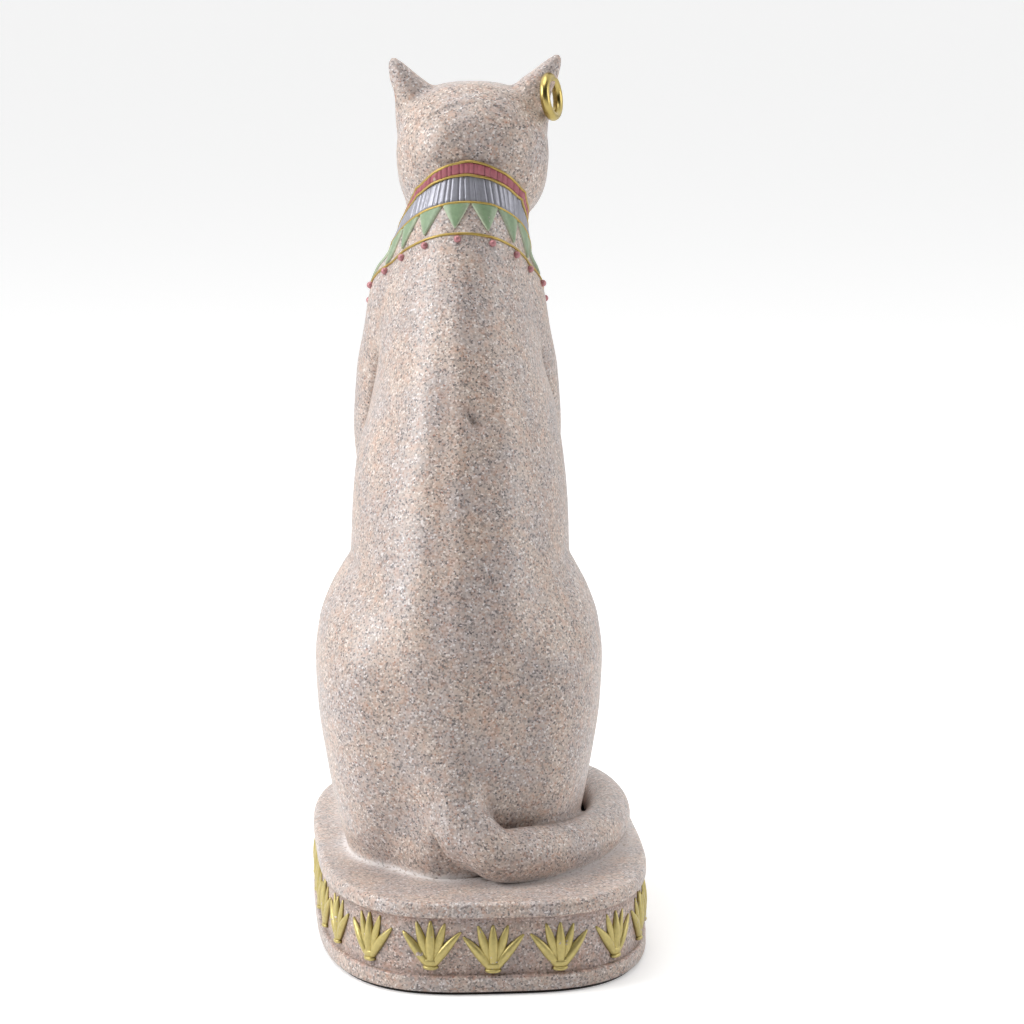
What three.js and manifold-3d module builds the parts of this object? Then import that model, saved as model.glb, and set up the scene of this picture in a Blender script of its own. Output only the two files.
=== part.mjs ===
// Seated Egyptian cat, a cast stone-resin statue on an oval plinth, with a gold
// earring in its right ear and a felt pad under the plinth.
//
// Millimetres, +Z up. The origin is the centre of the underside. The cat looks
// along -Y, so its right side, with the tail and the earring, is -X.

import * as THREE from 'three';
import { LoftGeometry } from 'three/addons/geometries/LoftGeometry.js';
import { ConvexGeometry } from 'three/addons/geometries/ConvexGeometry.js';
import { mergeVertices } from 'three/addons/utils/BufferGeometryUtils.js';
import Module from 'manifold-3d';

const wasm = await Module();
wasm.setup();

// Driving dimensions

const feltThickness = 1;
const plinth = {
  halfWidth: 52,
  halfLength: 89,
  squareness: 3.14,
  height: 28.8,
  ledge: 5.2,
  friezeRecess: 1.4,
  friezeBevel: 0.5,
  edgeRound: 1.9,
  footBevel: { inset: 0.5, rise: 0.7 },
};
const feltInset = 1.4;

// The cat sits a little to its left on the plinth, turned a few degrees, which
// leaves room for the tail on its right.
const catOffset = 5.4;
const catTurn = THREE.MathUtils.degToRad(-4.2);
const catSink = 1.5;
const footLevel = plinth.height - catSink;

// Each flower of the frieze: its leaves' widest place and spread are shares of
// their length, its stem, notches and peak shares of its height.
const flowerCount = 23;
const flower = {
  height: 15.6,
  bottom: 6.9,
  relief: 1.8,
  sunk: 0.5,
  widestAt: 0.62,
  spread: 0.19,
  stem: 0.1,
  notch: 0.34,
  peak: 0.25,
  calyxHalf: 2.6,
};

const forePaw = { across: 13.5, heel: -50, toe: -78, halfWidth: 9, height: 13 };
const hindPaw = { across: 30, heel: 6, toe: -54, halfWidth: 8.4, height: 13 };
const toeCount = 4;
const toe = { overlap: 1.25, setBack: 5.2, fan: 1.6, halfLength: 6.4 };

// A pad's and a toe's middle and half-height, as shares of the paw's height.
const padShare = { middle: 0.4, halfHeight: 0.6 };
const toeShare = { middle: 0.3, halfHeight: 0.42 };

const earring = { ringRadius: 6.2, wireRadius: 1.6, clearance: 0.35 };

// How finely each form is faceted: columns round it, rows along it.
const facets = {
  trunk: { columns: 26, lowerRows: 9, upperRows: 11 },
  foreleg: { columns: 13, rows: 11 },
  haunch: { columns: 17, rows: 9 },
  head: { columns: 20, rows: 12 },
  face: { columns: 8, rows: 4 },
  ear: { columns: 9, rows: 7 },
  earHollow: { columns: 9, rows: 6 },
  tail: { columns: 8, rows: 22 },
  pad: { columns: 10, rows: 4 },
  toe: { columns: 6, rows: 3 },
  collar: { columns: 22 },
  plinth: { columns: 40 },
  ring: { columns: 8, rows: 18 },
  ringHole: { columns: 8, rows: 16 },
};

// Smooth values between the named stations of a table: a cubic through them
// that never overshoots, so a narrow waist stays as narrow as it is given.

function smoothTable(stations) {
  const keys = stations.map((row) => row[0]);
  const width = stations[0].length - 1;
  const slopes = keys.map((key, i) => {
    return Array.from({ length: width }, (_, c) => {
      if (i === 0 || i === keys.length - 1) {
        return 0;
      }
      const before = (stations[i][c + 1] - stations[i - 1][c + 1]) / (keys[i] - keys[i - 1]);
      const after = (stations[i + 1][c + 1] - stations[i][c + 1]) / (keys[i + 1] - keys[i]);
      return before * after > 0 ? (2 * before * after) / (before + after) : 0;
    });
  });
  return (key) => {
    let i = 0;
    while (i < keys.length - 2 && key > keys[i + 1]) {
      i += 1;
    }
    const span = keys[i + 1] - keys[i];
    const t = THREE.MathUtils.clamp((key - keys[i]) / span, 0, 1);
    return Array.from({ length: width }, (_, c) => {
      const a = stations[i][c + 1];
      const b = stations[i + 1][c + 1];
      const fromSlope = slopes[i][c] * span;
      const toSlope = slopes[i + 1][c] * span;
      const t2 = t * t;
      const t3 = t2 * t;
      return a * (2 * t3 - 3 * t2 + 1) + fromSlope * (t3 - 2 * t2 + t)
        + b * (3 * t2 - 2 * t3) + toSlope * (t3 - t2);
    });
  };
}

function signedPower(value, power) {
  return Math.sign(value) * Math.pow(Math.abs(value), power);
}

function ovalPoint(angle, squareness) {
  const power = 2 / squareness;
  return [signedPower(Math.cos(angle), power), signedPower(Math.sin(angle), power)];
}

// Heights from low to high, closer together near both ends where a form rounds off.

const crowding = 0.55;

function roundedSteps(low, high, count) {
  return Array.from({ length: count + 1 }, (_, i) => {
    const t = i / count;
    const eased = (1 - Math.cos(Math.PI * t)) / 2;
    return THREE.MathUtils.lerp(low, high, THREE.MathUtils.lerp(t, eased, crowding));
  });
}

function evenSteps(low, high, count) {
  return Array.from({ length: count + 1 }, (_, i) => low + ((high - low) * i) / count);
}

// A solid from any closed three.js geometry, in the statue's frame.

const weldDistance = 1e-4;

function solid(geometry, matrix = new THREE.Matrix4()) {
  const bare = new THREE.BufferGeometry().copy(geometry);
  bare.deleteAttribute('normal');
  bare.deleteAttribute('uv');
  bare.applyMatrix4(matrix);
  const merged = mergeVertices(bare, weldDistance);
  const index = merged.index.array;
  const triangles = [];
  for (let i = 0; i < index.length; i += 3) {
    const [a, b, c] = [index[i], index[i + 1], index[i + 2]];
    if (a !== b && b !== c && c !== a) {
      triangles.push(a, b, c);
    }
  }
  return new wasm.Manifold(new wasm.Mesh({
    numProp: 3,
    vertProperties: new Float32Array(merged.attributes.position.array),
    triVerts: new Uint32Array(triangles),
  }));
}

function joined(solids) {
  return solids.reduce((all, next) => all.add(next));
}

function geometryOf(manifold) {
  const mesh = manifold.getMesh();
  const geometry = new THREE.BufferGeometry();
  geometry.setAttribute('position', new THREE.BufferAttribute(mesh.vertProperties, 3));
  geometry.setIndex(new THREE.BufferAttribute(mesh.triVerts, 1));
  geometry.computeVertexNormals();
  return geometry;
}

const catFrame = new THREE.Matrix4()
  .makeRotationZ(catTurn)
  .multiply(new THREE.Matrix4().makeTranslation(catOffset, 0, 0));

function catSolid(geometry) {
  return solid(geometry, catFrame);
}

// A body form as a stack of level ovals. The shape gives, for a height, the
// centre across, the half-width, the rear, the front and the squareness.

function stackOfOvals(shape, heights, columns, pinch = () => 0) {
  const sections = heights.map((z) => {
    const [centre, halfWidth, rear, front, squareness] = shape(z);
    const middle = (rear + front) / 2;
    const halfDepth = (rear - front) / 2;
    return Array.from({ length: columns }, (_, i) => {
      const [across, along] = ovalPoint((2 * Math.PI * i) / columns, squareness);
      const x = centre + halfWidth * across;
      const y = middle + halfDepth * along;
      return new THREE.Vector3(x, y + pinch(x - centre, y, z), z);
    });
  });
  return new LoftGeometry(sections, { capStart: true, capEnd: true });
}

// A tapering tube along a curve, rounded off at its end.

function tube(curve, radiusAt, { columns, rows }) {
  const frames = curve.computeFrenetFrames(rows, false);
  const sections = Array.from({ length: rows + 1 }, (_, i) => {
    const point = curve.getPointAt(i / rows);
    const radius = radiusAt(i / rows);
    return Array.from({ length: columns }, (_, j) => {
      const angle = (2 * Math.PI * j) / columns;
      return point.clone()
        .addScaledVector(frames.normals[i], radius * Math.cos(angle))
        .addScaledVector(frames.binormals[i], radius * Math.sin(angle));
    });
  });
  return new LoftGeometry(sections, { capStart: true, capEnd: true });
}

function egg(centre, radii, { columns, rows }) {
  const geometry = new THREE.SphereGeometry(1, columns, rows);
  geometry.rotateX(Math.PI / 2);
  geometry.scale(...radii);
  geometry.translate(...centre);
  return geometry;
}

// Trunk: rump, back, chest and neck in one form.
// height, centre across, half-width, rear, front, squareness

const trunkShape = smoothTable([
  [footLevel, 0, 32.5, 54.5, -15, 2.1],
  [36, 0, 34.2, 57, -20, 2.1],
  [50, 0, 36.6, 60.5, -26, 2.15],
  [70, 0, 38.4, 62.5, -32, 2.2],
  [90, 0, 38.2, 61, -37, 2.2],
  [105, -0.2, 36.6, 57.5, -41, 2.2],
  [120, -0.4, 34.8, 53, -44.5, 2.2],
  [135, -0.5, 34.3, 47.5, -48, 2.2],
  [150, -0.5, 33, 41.5, -51, 2.2],
  [165, -1.3, 29.8, 34.5, -54, 2.15],
  [180, -0.6, 26.4, 27.5, -56, 2.1],
  [192, -0.2, 25.4, 21.5, -56.5, 2.05],
  [203, -0.2, 24, 15.5, -54.5, 2],
  [213, -0.8, 22, 10.5, -50, 2],
  [222, -1.7, 19.8, 6.5, -45, 2],
  [231, -2.6, 17.6, 2.5, -41, 2],
  [243, -3.6, 16.2, -4, -38, 2],
]);

// The spine stands out as a soft ridge, strongest between the shoulders.

const spineHeight = smoothTable([
  [footLevel, 0],
  [75, 0.3],
  [140, 0.9],
  [185, 2.2],
  [212, 1.5],
  [226, 0.3],
  [236, 0],
]);
const spineHalfWidth = 5.5;

function spineRidge(across, y, z) {
  const [height] = spineHeight(z);
  return y > 0 ? height * Math.exp(-((across / spineHalfWidth) ** 2)) : 0;
}

const midBack = 150;
const neckTop = 243;

function trunk() {
  const heights = [
    ...evenSteps(footLevel, midBack, facets.trunk.lowerRows),
    ...evenSteps(midBack, neckTop, facets.trunk.upperRows).slice(1),
  ];
  return stackOfOvals(trunkShape, heights, facets.trunk.columns, spineRidge);
}

// Foreleg with its shoulder, by height: shoulder at the top, wrist at the bottom.

const forelegShape = smoothTable([
  [footLevel, 13.5, 7.2, -50.5, -64, 2],
  [48, 13.8, 6.9, -49.5, -63, 2],
  [75, 15.2, 7.9, -45.5, -61.5, 2],
  [105, 17.6, 9.6, -37, -59.5, 2],
  [130, 20, 11.2, -27, -57, 2],
  [155, 21.6, 12.2, -19, -53, 2],
  [174, 20.5, 12.1, -13, -48, 2],
  [190, 18.8, 11, -6, -43, 2],
  [200, 17.8, 10.4, -6, -39, 2],
  [208, 16.8, 8.4, -9, -35, 2],
  [216, 15.5, 3.5, -14, -28, 2],
]);
const shoulderTop = 216;
const shoulderShift = 0.5;

function foreleg(side) {
  const shape = (z) => {
    const [centre, ...rest] = forelegShape(z);
    return [side * centre + shoulderShift, ...rest];
  };
  const heights = roundedSteps(footLevel, shoulderTop, facets.foreleg.rows);
  return stackOfOvals(shape, heights, facets.foreleg.columns);
}

// Haunch: the folded thigh, flat-sided, widest low down.

const haunchShape = smoothTable([
  [footLevel, 22, 12.8, 42.5, -14, 2.2],
  [40, 22.5, 15.7, 49, -25, 2.2],
  [58, 23, 19, 53, -33, 2.2],
  [75, 23.3, 21.5, 53.5, -36, 2.2],
  [89, 23.5, 22, 51.5, -35, 2.2],
  [100, 23.5, 20.8, 47, -30, 2.1],
  [110, 23, 17.8, 39, -22, 2.05],
  [118, 22.5, 12.5, 28, -10, 2],
  [124, 22, 4, 15, 3, 2],
]);
const haunchTop = 124;

function haunch(side) {
  const shape = (z) => {
    const [centre, ...rest] = haunchShape(z);
    return [side * centre, ...rest];
  };
  const heights = roundedSteps(footLevel, haunchTop, facets.haunch.rows);
  return stackOfOvals(shape, heights, facets.haunch.columns);
}

// Paws: a low pad with four toes across its front.

function paw(side, size) {
  const { heel, halfWidth, height } = size;
  const x = side * size.across;
  const level = plinth.height;
  const pad = egg(
    [x, (heel + size.toe) / 2, level + height * padShare.middle],
    [halfWidth, (heel - size.toe) / 2, height * padShare.halfHeight],
    facets.pad,
  );
  const toeHalf = (halfWidth / toeCount) * toe.overlap;
  const toes = Array.from({ length: toeCount }, (_, i) => {
    const place = (2 * i) / (toeCount - 1) - 1;
    const reach = size.toe + toe.setBack + toe.fan * place * place;
    return egg(
      [x + place * (halfWidth - toeHalf), reach, level + height * toeShare.middle],
      [toeHalf, toe.halfLength, height * toeShare.halfHeight],
      facets.toe,
    );
  });
  return [pad, ...toes];
}

// Head, as a stack of ovals along Y from the back of the skull to the nose.
// distance back to front, half-width, top, bottom, squareness

const headCentre = -4.6;
const headStations = [
  [0, 3, 248, 242.4, 2],
  [0.5, 7, 251, 239.2, 2],
  [1.4, 9.8, 253.8, 236.2, 2],
  [3, 13, 256.8, 232.8, 2.1],
  [8, 18.8, 262.5, 226.5, 2.3],
  [16, 23, 266.8, 222.5, 2.5],
  [26, 24.2, 267.6, 220.5, 2.6],
  [36, 22.4, 265, 220.5, 2.4],
  [44, 17.6, 258.6, 221.8, 2.2],
  [50, 13.4, 251.4, 223.2, 2.1],
  [56, 11, 246, 225, 2.1],
  [60, 8.2, 243, 228, 2],
  [62, 2, 238, 234, 2],
];
const headShape = smoothTable(headStations);
const headRear = -1;

function head() {
  const { columns, rows } = facets.head;
  const distances = roundedSteps(0, headStations.at(-1)[0], rows);
  const sections = distances.map((distance) => {
    const [halfWidth, top, bottom, squareness] = headShape(distance);
    return Array.from({ length: columns }, (_, i) => {
      const [across, up] = ovalPoint((2 * Math.PI * i) / columns, squareness);
      return new THREE.Vector3(
        headCentre + halfWidth * across,
        headRear - distance,
        (top + bottom) / 2 + ((top - bottom) / 2) * up,
      );
    });
  });
  return new LoftGeometry(sections, { capStart: true, capEnd: true });
}

// Face: chin, nose, cheeks of the muzzle and long almond eyes, each given by its
// place and radii. The eyes slant up and outwards and turn round the head.

const chin = { y: -60.3, z: 229.6, radii: [5.4, 4.6, 4] };
const nose = { y: -61.6, z: 241, radii: [3.6, 3, 2.6] };
const cheek = { across: 5, y: -59, z: 234.8, radii: [5.4, 5.2, 4.6] };
const eyeball = { across: 12.8, y: -46.2, z: 248.4, radii: [7, 2.8, 3.2] };
const eyeSlant = THREE.MathUtils.degToRad(14);
const eyeTurn = THREE.MathUtils.degToRad(48);

function face() {
  const parts = [chin, nose].map(({ y, z, radii }) => egg([headCentre, y, z], radii, facets.face));
  for (const side of [-1, 1]) {
    const cheekCentre = [headCentre + side * cheek.across, cheek.y, cheek.z];
    parts.push(egg(cheekCentre, cheek.radii, facets.face));
    const eye = egg([0, 0, 0], eyeball.radii, facets.face);
    eye.rotateY(-side * eyeSlant);
    eye.rotateZ(side * eyeTurn);
    eye.translate(headCentre + side * eyeball.across, eyeball.y, eyeball.z);
    parts.push(eye);
  }
  return parts;
}

// Ear: a pointed form, hollowed from the front and the outer side.
// height, centre across, half-width, rear, front, squareness

const earBase = 249;
const earTip = 275.5;
const earShape = smoothTable([
  [earBase, 16, 7, -17, -37, 2],
  [255, 17.2, 7, -17.6, -36, 2],
  [261, 18.2, 6.9, -18.4, -34, 2],
  [265, 19, 6.7, -19.2, -32.6, 2],
  [267.5, 20.2, 6, -19.8, -31.4, 2],
  [270, 21.9, 4.6, -20.4, -30, 2],
  [272.5, 23.5, 3.2, -21.3, -28.4, 2],
  [274.3, 24.5, 2, -22.2, -26.8, 2],
  [earTip, 25, 0.9, -23.3, -25.4, 2],
]);
const hollow = { across: 24.9, y: -33.5, z: 263.5, radii: [6.6, 9.8, 9] };

// The right ear stands a little higher than the left and leans further out.
const rightEarRise = 0.5;
const rightEarLean = 1.8;
const leanFrom = 261;

function earLean(side, z) {
  const share = THREE.MathUtils.clamp((z - leanFrom) / (earTip - leanFrom), 0, 1);
  return side < 0 ? rightEarLean * share : 0;
}

function ear(side) {
  const rise = -side * rightEarRise;
  const shape = (z) => {
    const [centre, ...rest] = earShape(z - rise);
    return [headCentre + side * (centre + earLean(side, z)), ...rest];
  };
  const heights = roundedSteps(earBase + rise, earTip + rise, facets.ear.rows);
  return stackOfOvals(shape, heights, facets.ear.columns);
}

function earHollow(side) {
  const across = side * (hollow.across + earLean(side, hollow.z));
  return egg([headCentre + across, hollow.y, hollow.z], hollow.radii, facets.earHollow);
}

// Tail: out of the rump, down to the plinth and forward round the right haunch.

const tailCurve = new THREE.CatmullRomCurve3([
  new THREE.Vector3(0, 46, 68),
  new THREE.Vector3(-0.6, 57.5, 57),
  new THREE.Vector3(-3.5, 63.5, 46),
  new THREE.Vector3(-11, 65.6, 38),
  new THREE.Vector3(-22, 59.6, 36.2),
  new THREE.Vector3(-34.4, 46, 35.6),
  new THREE.Vector3(-43.8, 27.2, 35.2),
  new THREE.Vector3(-47.8, 4.6, 35),
  new THREE.Vector3(-46.6, -16, 34.6),
  new THREE.Vector3(-41.4, -36, 34.2),
  new THREE.Vector3(-33, -50, 33.8),
]);
const tailRadius = smoothTable([
  [0, 5],
  [0.1, 5.8],
  [0.2, 7.8],
  [0.3, 8.5],
  [0.5, 7.8],
  [0.9, 6.4],
  [0.96, 5.4],
  [0.99, 3.2],
  [1, 0.4],
]);

function tail() {
  return tube(tailCurve, (t) => tailRadius(t)[0], facets.tail);
}

// Collar: fluted bands, gold lines and points that lie on the neck and
// shoulders. Each line is where the skin meets a plane, lower in front than behind.
// Near the nape the upper lines are lifted, so that they arch.

const collarTop = { nape: 238.8, slope: 0.7, lift: 5.9 };
const secondDrop = 2.4;
const thirdDrop = 9;
const lowestLine = { nape: 218, slope: 0.63, lift: 0 };
const neckCentre = { x: -1.6, y: -19 };
const narrowestNeck = 5;
const widestNeck = 60;
const halvings = 30;
const bandThickness = 0.8;
const lineThickness = 1.3;
const lineHalfHeight = 0.7;
const bandSunk = 2;
const lineSunk = 0.7;
const pointCount = 15;
const pointTurn = 0.1;
const pointSize = { halfAngle: 0.19, drop: 10.4 };

function insideOval([centre, halfWidth, rear, front], x, y) {
  const across = (x - centre) / halfWidth;
  const along = (y - (rear + front) / 2) / ((rear - front) / 2);
  return across * across + along * along < 1;
}

function insideNeck(x, y, z) {
  const [legCentre, ...legRest] = forelegShape(z);
  const insideLeg = (side) => {
    return z < shoulderTop && insideOval([side * legCentre + shoulderShift, ...legRest], x, y);
  };
  return insideOval(trunkShape(z), x, y) || insideLeg(-1) || insideLeg(1);
}

// The skin's point on a collar line, in a direction round the neck that starts at
// the nape, lowered by some drop and raised by some relief.

function onCollar(line, angle, drop, relief) {
  const out = { x: Math.sin(angle), y: Math.cos(angle) };
  const lift = line.lift * Math.max(0, 1 - drop / thirdDrop) * Math.max(0, out.y) ** 2;
  const at = (radius) => {
    const y = neckCentre.y + radius * out.y;
    return [neckCentre.x + radius * out.x, y, line.nape + lift - drop + line.slope * y];
  };
  let inner = narrowestNeck;
  let outer = widestNeck;
  for (let i = 0; i < halvings; i += 1) {
    const middle = (inner + outer) / 2;
    if (insideNeck(...at(middle))) {
      inner = middle;
    } else {
      outer = middle;
    }
  }
  const [x, y, z] = at(inner);
  return new THREE.Vector3(x + out.x * relief, y + out.y * relief, z);
}

// A ring round the neck with the section given as pairs of drop and relief.

function collarRing(line, section) {
  const { columns } = facets.collar;
  const sections = Array.from({ length: columns + 1 }, (_, i) => {
    const angle = (-2 * Math.PI * (i % columns)) / columns;
    return section.map(([drop, relief]) => onCollar(line, angle, drop, relief));
  });
  return new LoftGeometry(sections);
}

function collarPoint(angle) {
  const half = pointSize.halfAngle;
  return new ConvexGeometry([-bandSunk, bandThickness].flatMap((relief) => [
    onCollar(collarTop, angle - half, thirdDrop, relief),
    onCollar(collarTop, angle + half, thirdDrop, relief),
    onCollar(collarTop, angle, thirdDrop + pointSize.drop, relief),
  ]));
}

function collar() {
  const line = lineHalfHeight;
  const parts = [
    collarRing(collarTop, [
      [-line, -bandSunk],
      [0, lineThickness],
      [line, bandThickness],
      [secondDrop - line, bandThickness],
      [secondDrop, lineThickness],
      [secondDrop + line, bandThickness],
      [thirdDrop - line, bandThickness],
      [thirdDrop, lineThickness],
      [thirdDrop + line, -bandSunk],
    ]),
    collarRing(lowestLine, [[-line, -lineSunk], [0, lineThickness], [line, -lineSunk]]),
  ];
  for (let i = 0; i < pointCount; i += 1) {
    parts.push(collarPoint(pointTurn + (2 * Math.PI * i) / pointCount));
  }
  return joined(parts.map(catSolid));
}

// Plinth: a superellipse with a ledge above and below a recessed frieze.

function plinthSection(inset, z) {
  const { columns } = facets.plinth;
  return Array.from({ length: columns }, (_, i) => {
    const [across, along] = ovalPoint((2 * Math.PI * i) / columns, plinth.squareness);
    return new THREE.Vector3(
      (plinth.halfWidth - inset) * across,
      (plinth.halfLength - inset) * along,
      z,
    );
  });
}

function plinthBody() {
  const { height, ledge, friezeRecess, friezeBevel, edgeRound, footBevel } = plinth;
  const lowLedge = feltThickness + ledge;
  const highLedge = height - ledge + friezeBevel;
  const cornerInset = edgeRound * (1 - Math.SQRT1_2);
  const profile = [
    [footBevel.inset, feltThickness],
    [0, feltThickness + footBevel.rise],
    [0, lowLedge],
    [friezeRecess, lowLedge + friezeBevel],
    [friezeRecess, highLedge - friezeBevel],
    [0, highLedge],
    [0, height - edgeRound],
    [cornerInset, height - cornerInset],
    [edgeRound, height],
  ];
  const sections = profile.map(([inset, z]) => plinthSection(inset, z));
  return solid(new LoftGeometry(sections, { capStart: true, capEnd: true }));
}

// The line that the frieze follows round the plinth, from the middle of the rear.

class FriezeLine extends THREE.Curve {
  getPoint(t, target = new THREE.Vector3()) {
    const angle = Math.PI / 2 + 2 * Math.PI * t;
    const [across, along] = ovalPoint(angle, plinth.squareness);
    return target.set(
      (plinth.halfWidth - plinth.friezeRecess) * across,
      (plinth.halfLength - plinth.friezeRecess) * along,
      0,
    );
  }
}

const friezeLine = new FriezeLine();
friezeLine.arcLengthDivisions = 2000;
const friezeLength = friezeLine.getLength();

// A point of the frieze from its distance round, height and relief.

function onFrieze(distance, z, relief) {
  const t = THREE.MathUtils.euclideanModulo(distance / friezeLength, 1);
  const point = friezeLine.getPointAt(t);
  const along = friezeLine.getTangentAt(t);
  return new THREE.Vector3(
    point.x + along.y * relief,
    point.y - along.x * relief,
    z,
  );
}

// A lotus: five pointed leaves fanned out of a calyx. Its outline lies in the
// frieze and rises to one peak at the root, so every leaf has a ridge.

const petals = [
  { lean: -0.92, length: 0.72 },
  { lean: -0.44, length: 0.86 },
  { lean: 0, length: 1 },
  { lean: 0.44, length: 0.86 },
  { lean: 0.92, length: 0.72 },
];

function lotus(distance) {
  const { height, bottom, sunk } = flower;
  const stem = height * flower.stem;
  const calyx = (across, up) => onFrieze(distance + across, bottom + stem + up, -sunk);
  const leaf = (reach, lean, across) => onFrieze(
    distance + reach * Math.sin(lean) + across * Math.cos(lean),
    bottom + stem + reach * Math.cos(lean) - across * Math.sin(lean),
    -sunk,
  );
  const rim = [calyx(-flower.calyxHalf, -stem)];
  petals.forEach(({ lean, length }, i) => {
    const reach = (height - stem) * length;
    const widest = reach * flower.widestAt;
    const half = widest * flower.spread;
    rim.push(leaf(widest, lean, -half), leaf(reach, lean, 0), leaf(widest, lean, half));
    if (i < petals.length - 1) {
      rim.push(leaf(height * flower.notch, (lean + petals[i + 1].lean) / 2, 0));
    }
  });
  rim.push(calyx(flower.calyxHalf, -stem));
  const peak = onFrieze(distance, bottom + height * flower.peak, flower.relief);
  const top = rim.map(() => peak.clone());
  return new LoftGeometry([rim.toReversed(), top], { capStart: true, capEnd: false });
}

function frieze() {
  const parts = Array.from({ length: flowerCount }, (_, i) => {
    return lotus((friezeLength * i) / flowerCount);
  });
  return joined(parts.map((geometry) => solid(geometry)));
}

// Earring: a ring through the right ear, nearly edge-on to the back.

const ringCentre = new THREE.Vector3(headCentre - 25.1, -21, 263);
const ringTurn = THREE.MathUtils.degToRad(90 - 19.5);
const ringLean = THREE.MathUtils.degToRad(8.5);

function ring(wireRadius, { columns, rows }) {
  const geometry = new THREE.TorusGeometry(earring.ringRadius, wireRadius, columns, rows);
  geometry.rotateX(Math.PI / 2);
  geometry.rotateZ(ringTurn);
  geometry.rotateY(ringLean);
  geometry.translate(ringCentre.x, ringCentre.y, ringCentre.z);
  return geometry;
}

function statueSolid() {
  const forms = [trunk(), foreleg(-1), foreleg(1), haunch(-1), haunch(1), head(), tail()];
  for (const side of [-1, 1]) {
    forms.push(...paw(side, forePaw), ...paw(side, hindPaw));
  }
  forms.push(...face());
  const ears = [-1, 1].map((side) => catSolid(ear(side)).subtract(catSolid(earHollow(side))));
  const cat = joined([...forms.map(catSolid), ...ears, collar()]);
  const hole = catSolid(ring(earring.wireRadius + earring.clearance, facets.ringHole));
  return joined([plinthBody(), frieze(), cat]).subtract(hole);
}

// Nodes

const stone = new THREE.MeshStandardMaterial({ color: 0xcdb5a4, roughness: 0.42 });
const gold = new THREE.MeshStandardMaterial({ color: 0xc9ae52, roughness: 0.35, metalness: 0.8 });
const felt = new THREE.MeshStandardMaterial({ color: 0x2b2726, roughness: 1 });

const statue = new THREE.Mesh(geometryOf(statueSolid()), stone);
statue.name = 'statue';

const earringMesh = new THREE.Mesh(ring(earring.wireRadius, facets.ring), gold);
earringMesh.name = 'earring';
earringMesh.applyMatrix4(catFrame);

const feltSections = [0, feltThickness].map((z) => plinthSection(feltInset, z));
const feltPad = new THREE.Mesh(
  new LoftGeometry(feltSections, { capStart: true, capEnd: true }),
  felt,
);
feltPad.name = 'felt_pad';

const part = new THREE.Group();
part.add(statue, earringMesh, feltPad);

export default part;
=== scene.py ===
# %% [markdown]
# # A seated Egyptian cat in speckled stone resin
# The real object is a souvenir about 28 cm high: a cat and its oval plinth cast in one piece from resin
# and stone granules, then painted by hand. A gold hoop hangs in its right ear and a felt pad is glued
# under the plinth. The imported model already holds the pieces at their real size. This notebook gives
# them their surface: a smooth skin over the cat's forms, a painted collar, a frieze of lotus flowers
# and the materials.

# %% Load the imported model
import math

import bmesh
import bpy
import numpy as np
from mathutils import Matrix, Vector, noise


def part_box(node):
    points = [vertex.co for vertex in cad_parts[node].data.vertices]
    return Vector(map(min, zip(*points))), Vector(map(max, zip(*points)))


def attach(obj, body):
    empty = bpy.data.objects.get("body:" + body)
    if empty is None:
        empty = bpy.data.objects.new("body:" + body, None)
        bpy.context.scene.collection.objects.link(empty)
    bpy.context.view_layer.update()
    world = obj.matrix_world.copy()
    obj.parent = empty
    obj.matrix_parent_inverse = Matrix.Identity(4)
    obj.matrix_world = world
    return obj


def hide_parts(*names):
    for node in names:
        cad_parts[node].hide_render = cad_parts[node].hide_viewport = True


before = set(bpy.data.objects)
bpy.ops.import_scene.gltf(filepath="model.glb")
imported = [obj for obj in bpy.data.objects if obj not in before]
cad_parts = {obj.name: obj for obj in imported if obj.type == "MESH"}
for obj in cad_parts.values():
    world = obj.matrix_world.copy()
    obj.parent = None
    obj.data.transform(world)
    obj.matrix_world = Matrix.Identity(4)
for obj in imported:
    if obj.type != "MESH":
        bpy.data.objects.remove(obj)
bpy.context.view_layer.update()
MM = 0.001
print("nodes:", sorted(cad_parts))

# %% [markdown]
# ## The camera
# The photographer stood behind the cat, a little above it, and saw the plinth turned by four degrees.
# A long lens keeps the upright lines nearly parallel. The camera is placed first, because everything
# is judged through it.

# %% Place the camera
# Places are in metres, and the focal length is in pixels of a frame 1024 wide
CAMERA_DISTANCE = 1.2
CAMERA_HEIGHT = 0.3469
CAMERA_AZIMUTH = math.radians(4.2)
AIM_ASIDE = math.radians(0.553)
AIM_DOWN = math.radians(10.13)
FOCAL_PIXELS = 3825
FRAME_PIXELS = 1024
SENSOR_WIDTH = 36


def link_object(name, data):
    made = bpy.data.objects.new(name, data)
    bpy.context.scene.collection.objects.link(made)
    return made


def look_along(made, direction):
    """Turns a camera or a light so that it looks in a direction, upright."""
    made.rotation_mode = "QUATERNION"
    made.rotation_quaternion = direction.to_track_quat("-Z", "Y")


def make_camera():
    data = bpy.data.cameras.new("camera")
    data.sensor_width = SENSOR_WIDTH
    data.lens = SENSOR_WIDTH * FOCAL_PIXELS / FRAME_PIXELS
    camera = link_object("camera", data)
    outward = Vector((math.sin(CAMERA_AZIMUTH), math.cos(CAMERA_AZIMUTH), 0))
    camera.location = outward * CAMERA_DISTANCE + Vector((0, 0, CAMERA_HEIGHT))
    right = (-outward).cross(Vector((0, 0, 1)))
    level = -outward * math.cos(AIM_ASIDE) + right * math.sin(AIM_ASIDE)
    look_along(camera, level * math.cos(AIM_DOWN) - Vector((0, 0, math.sin(AIM_DOWN))))
    return camera


bpy.context.scene.camera = make_camera()
print("camera lens:", round(bpy.context.scene.camera.data.lens, 1), "mm")

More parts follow.
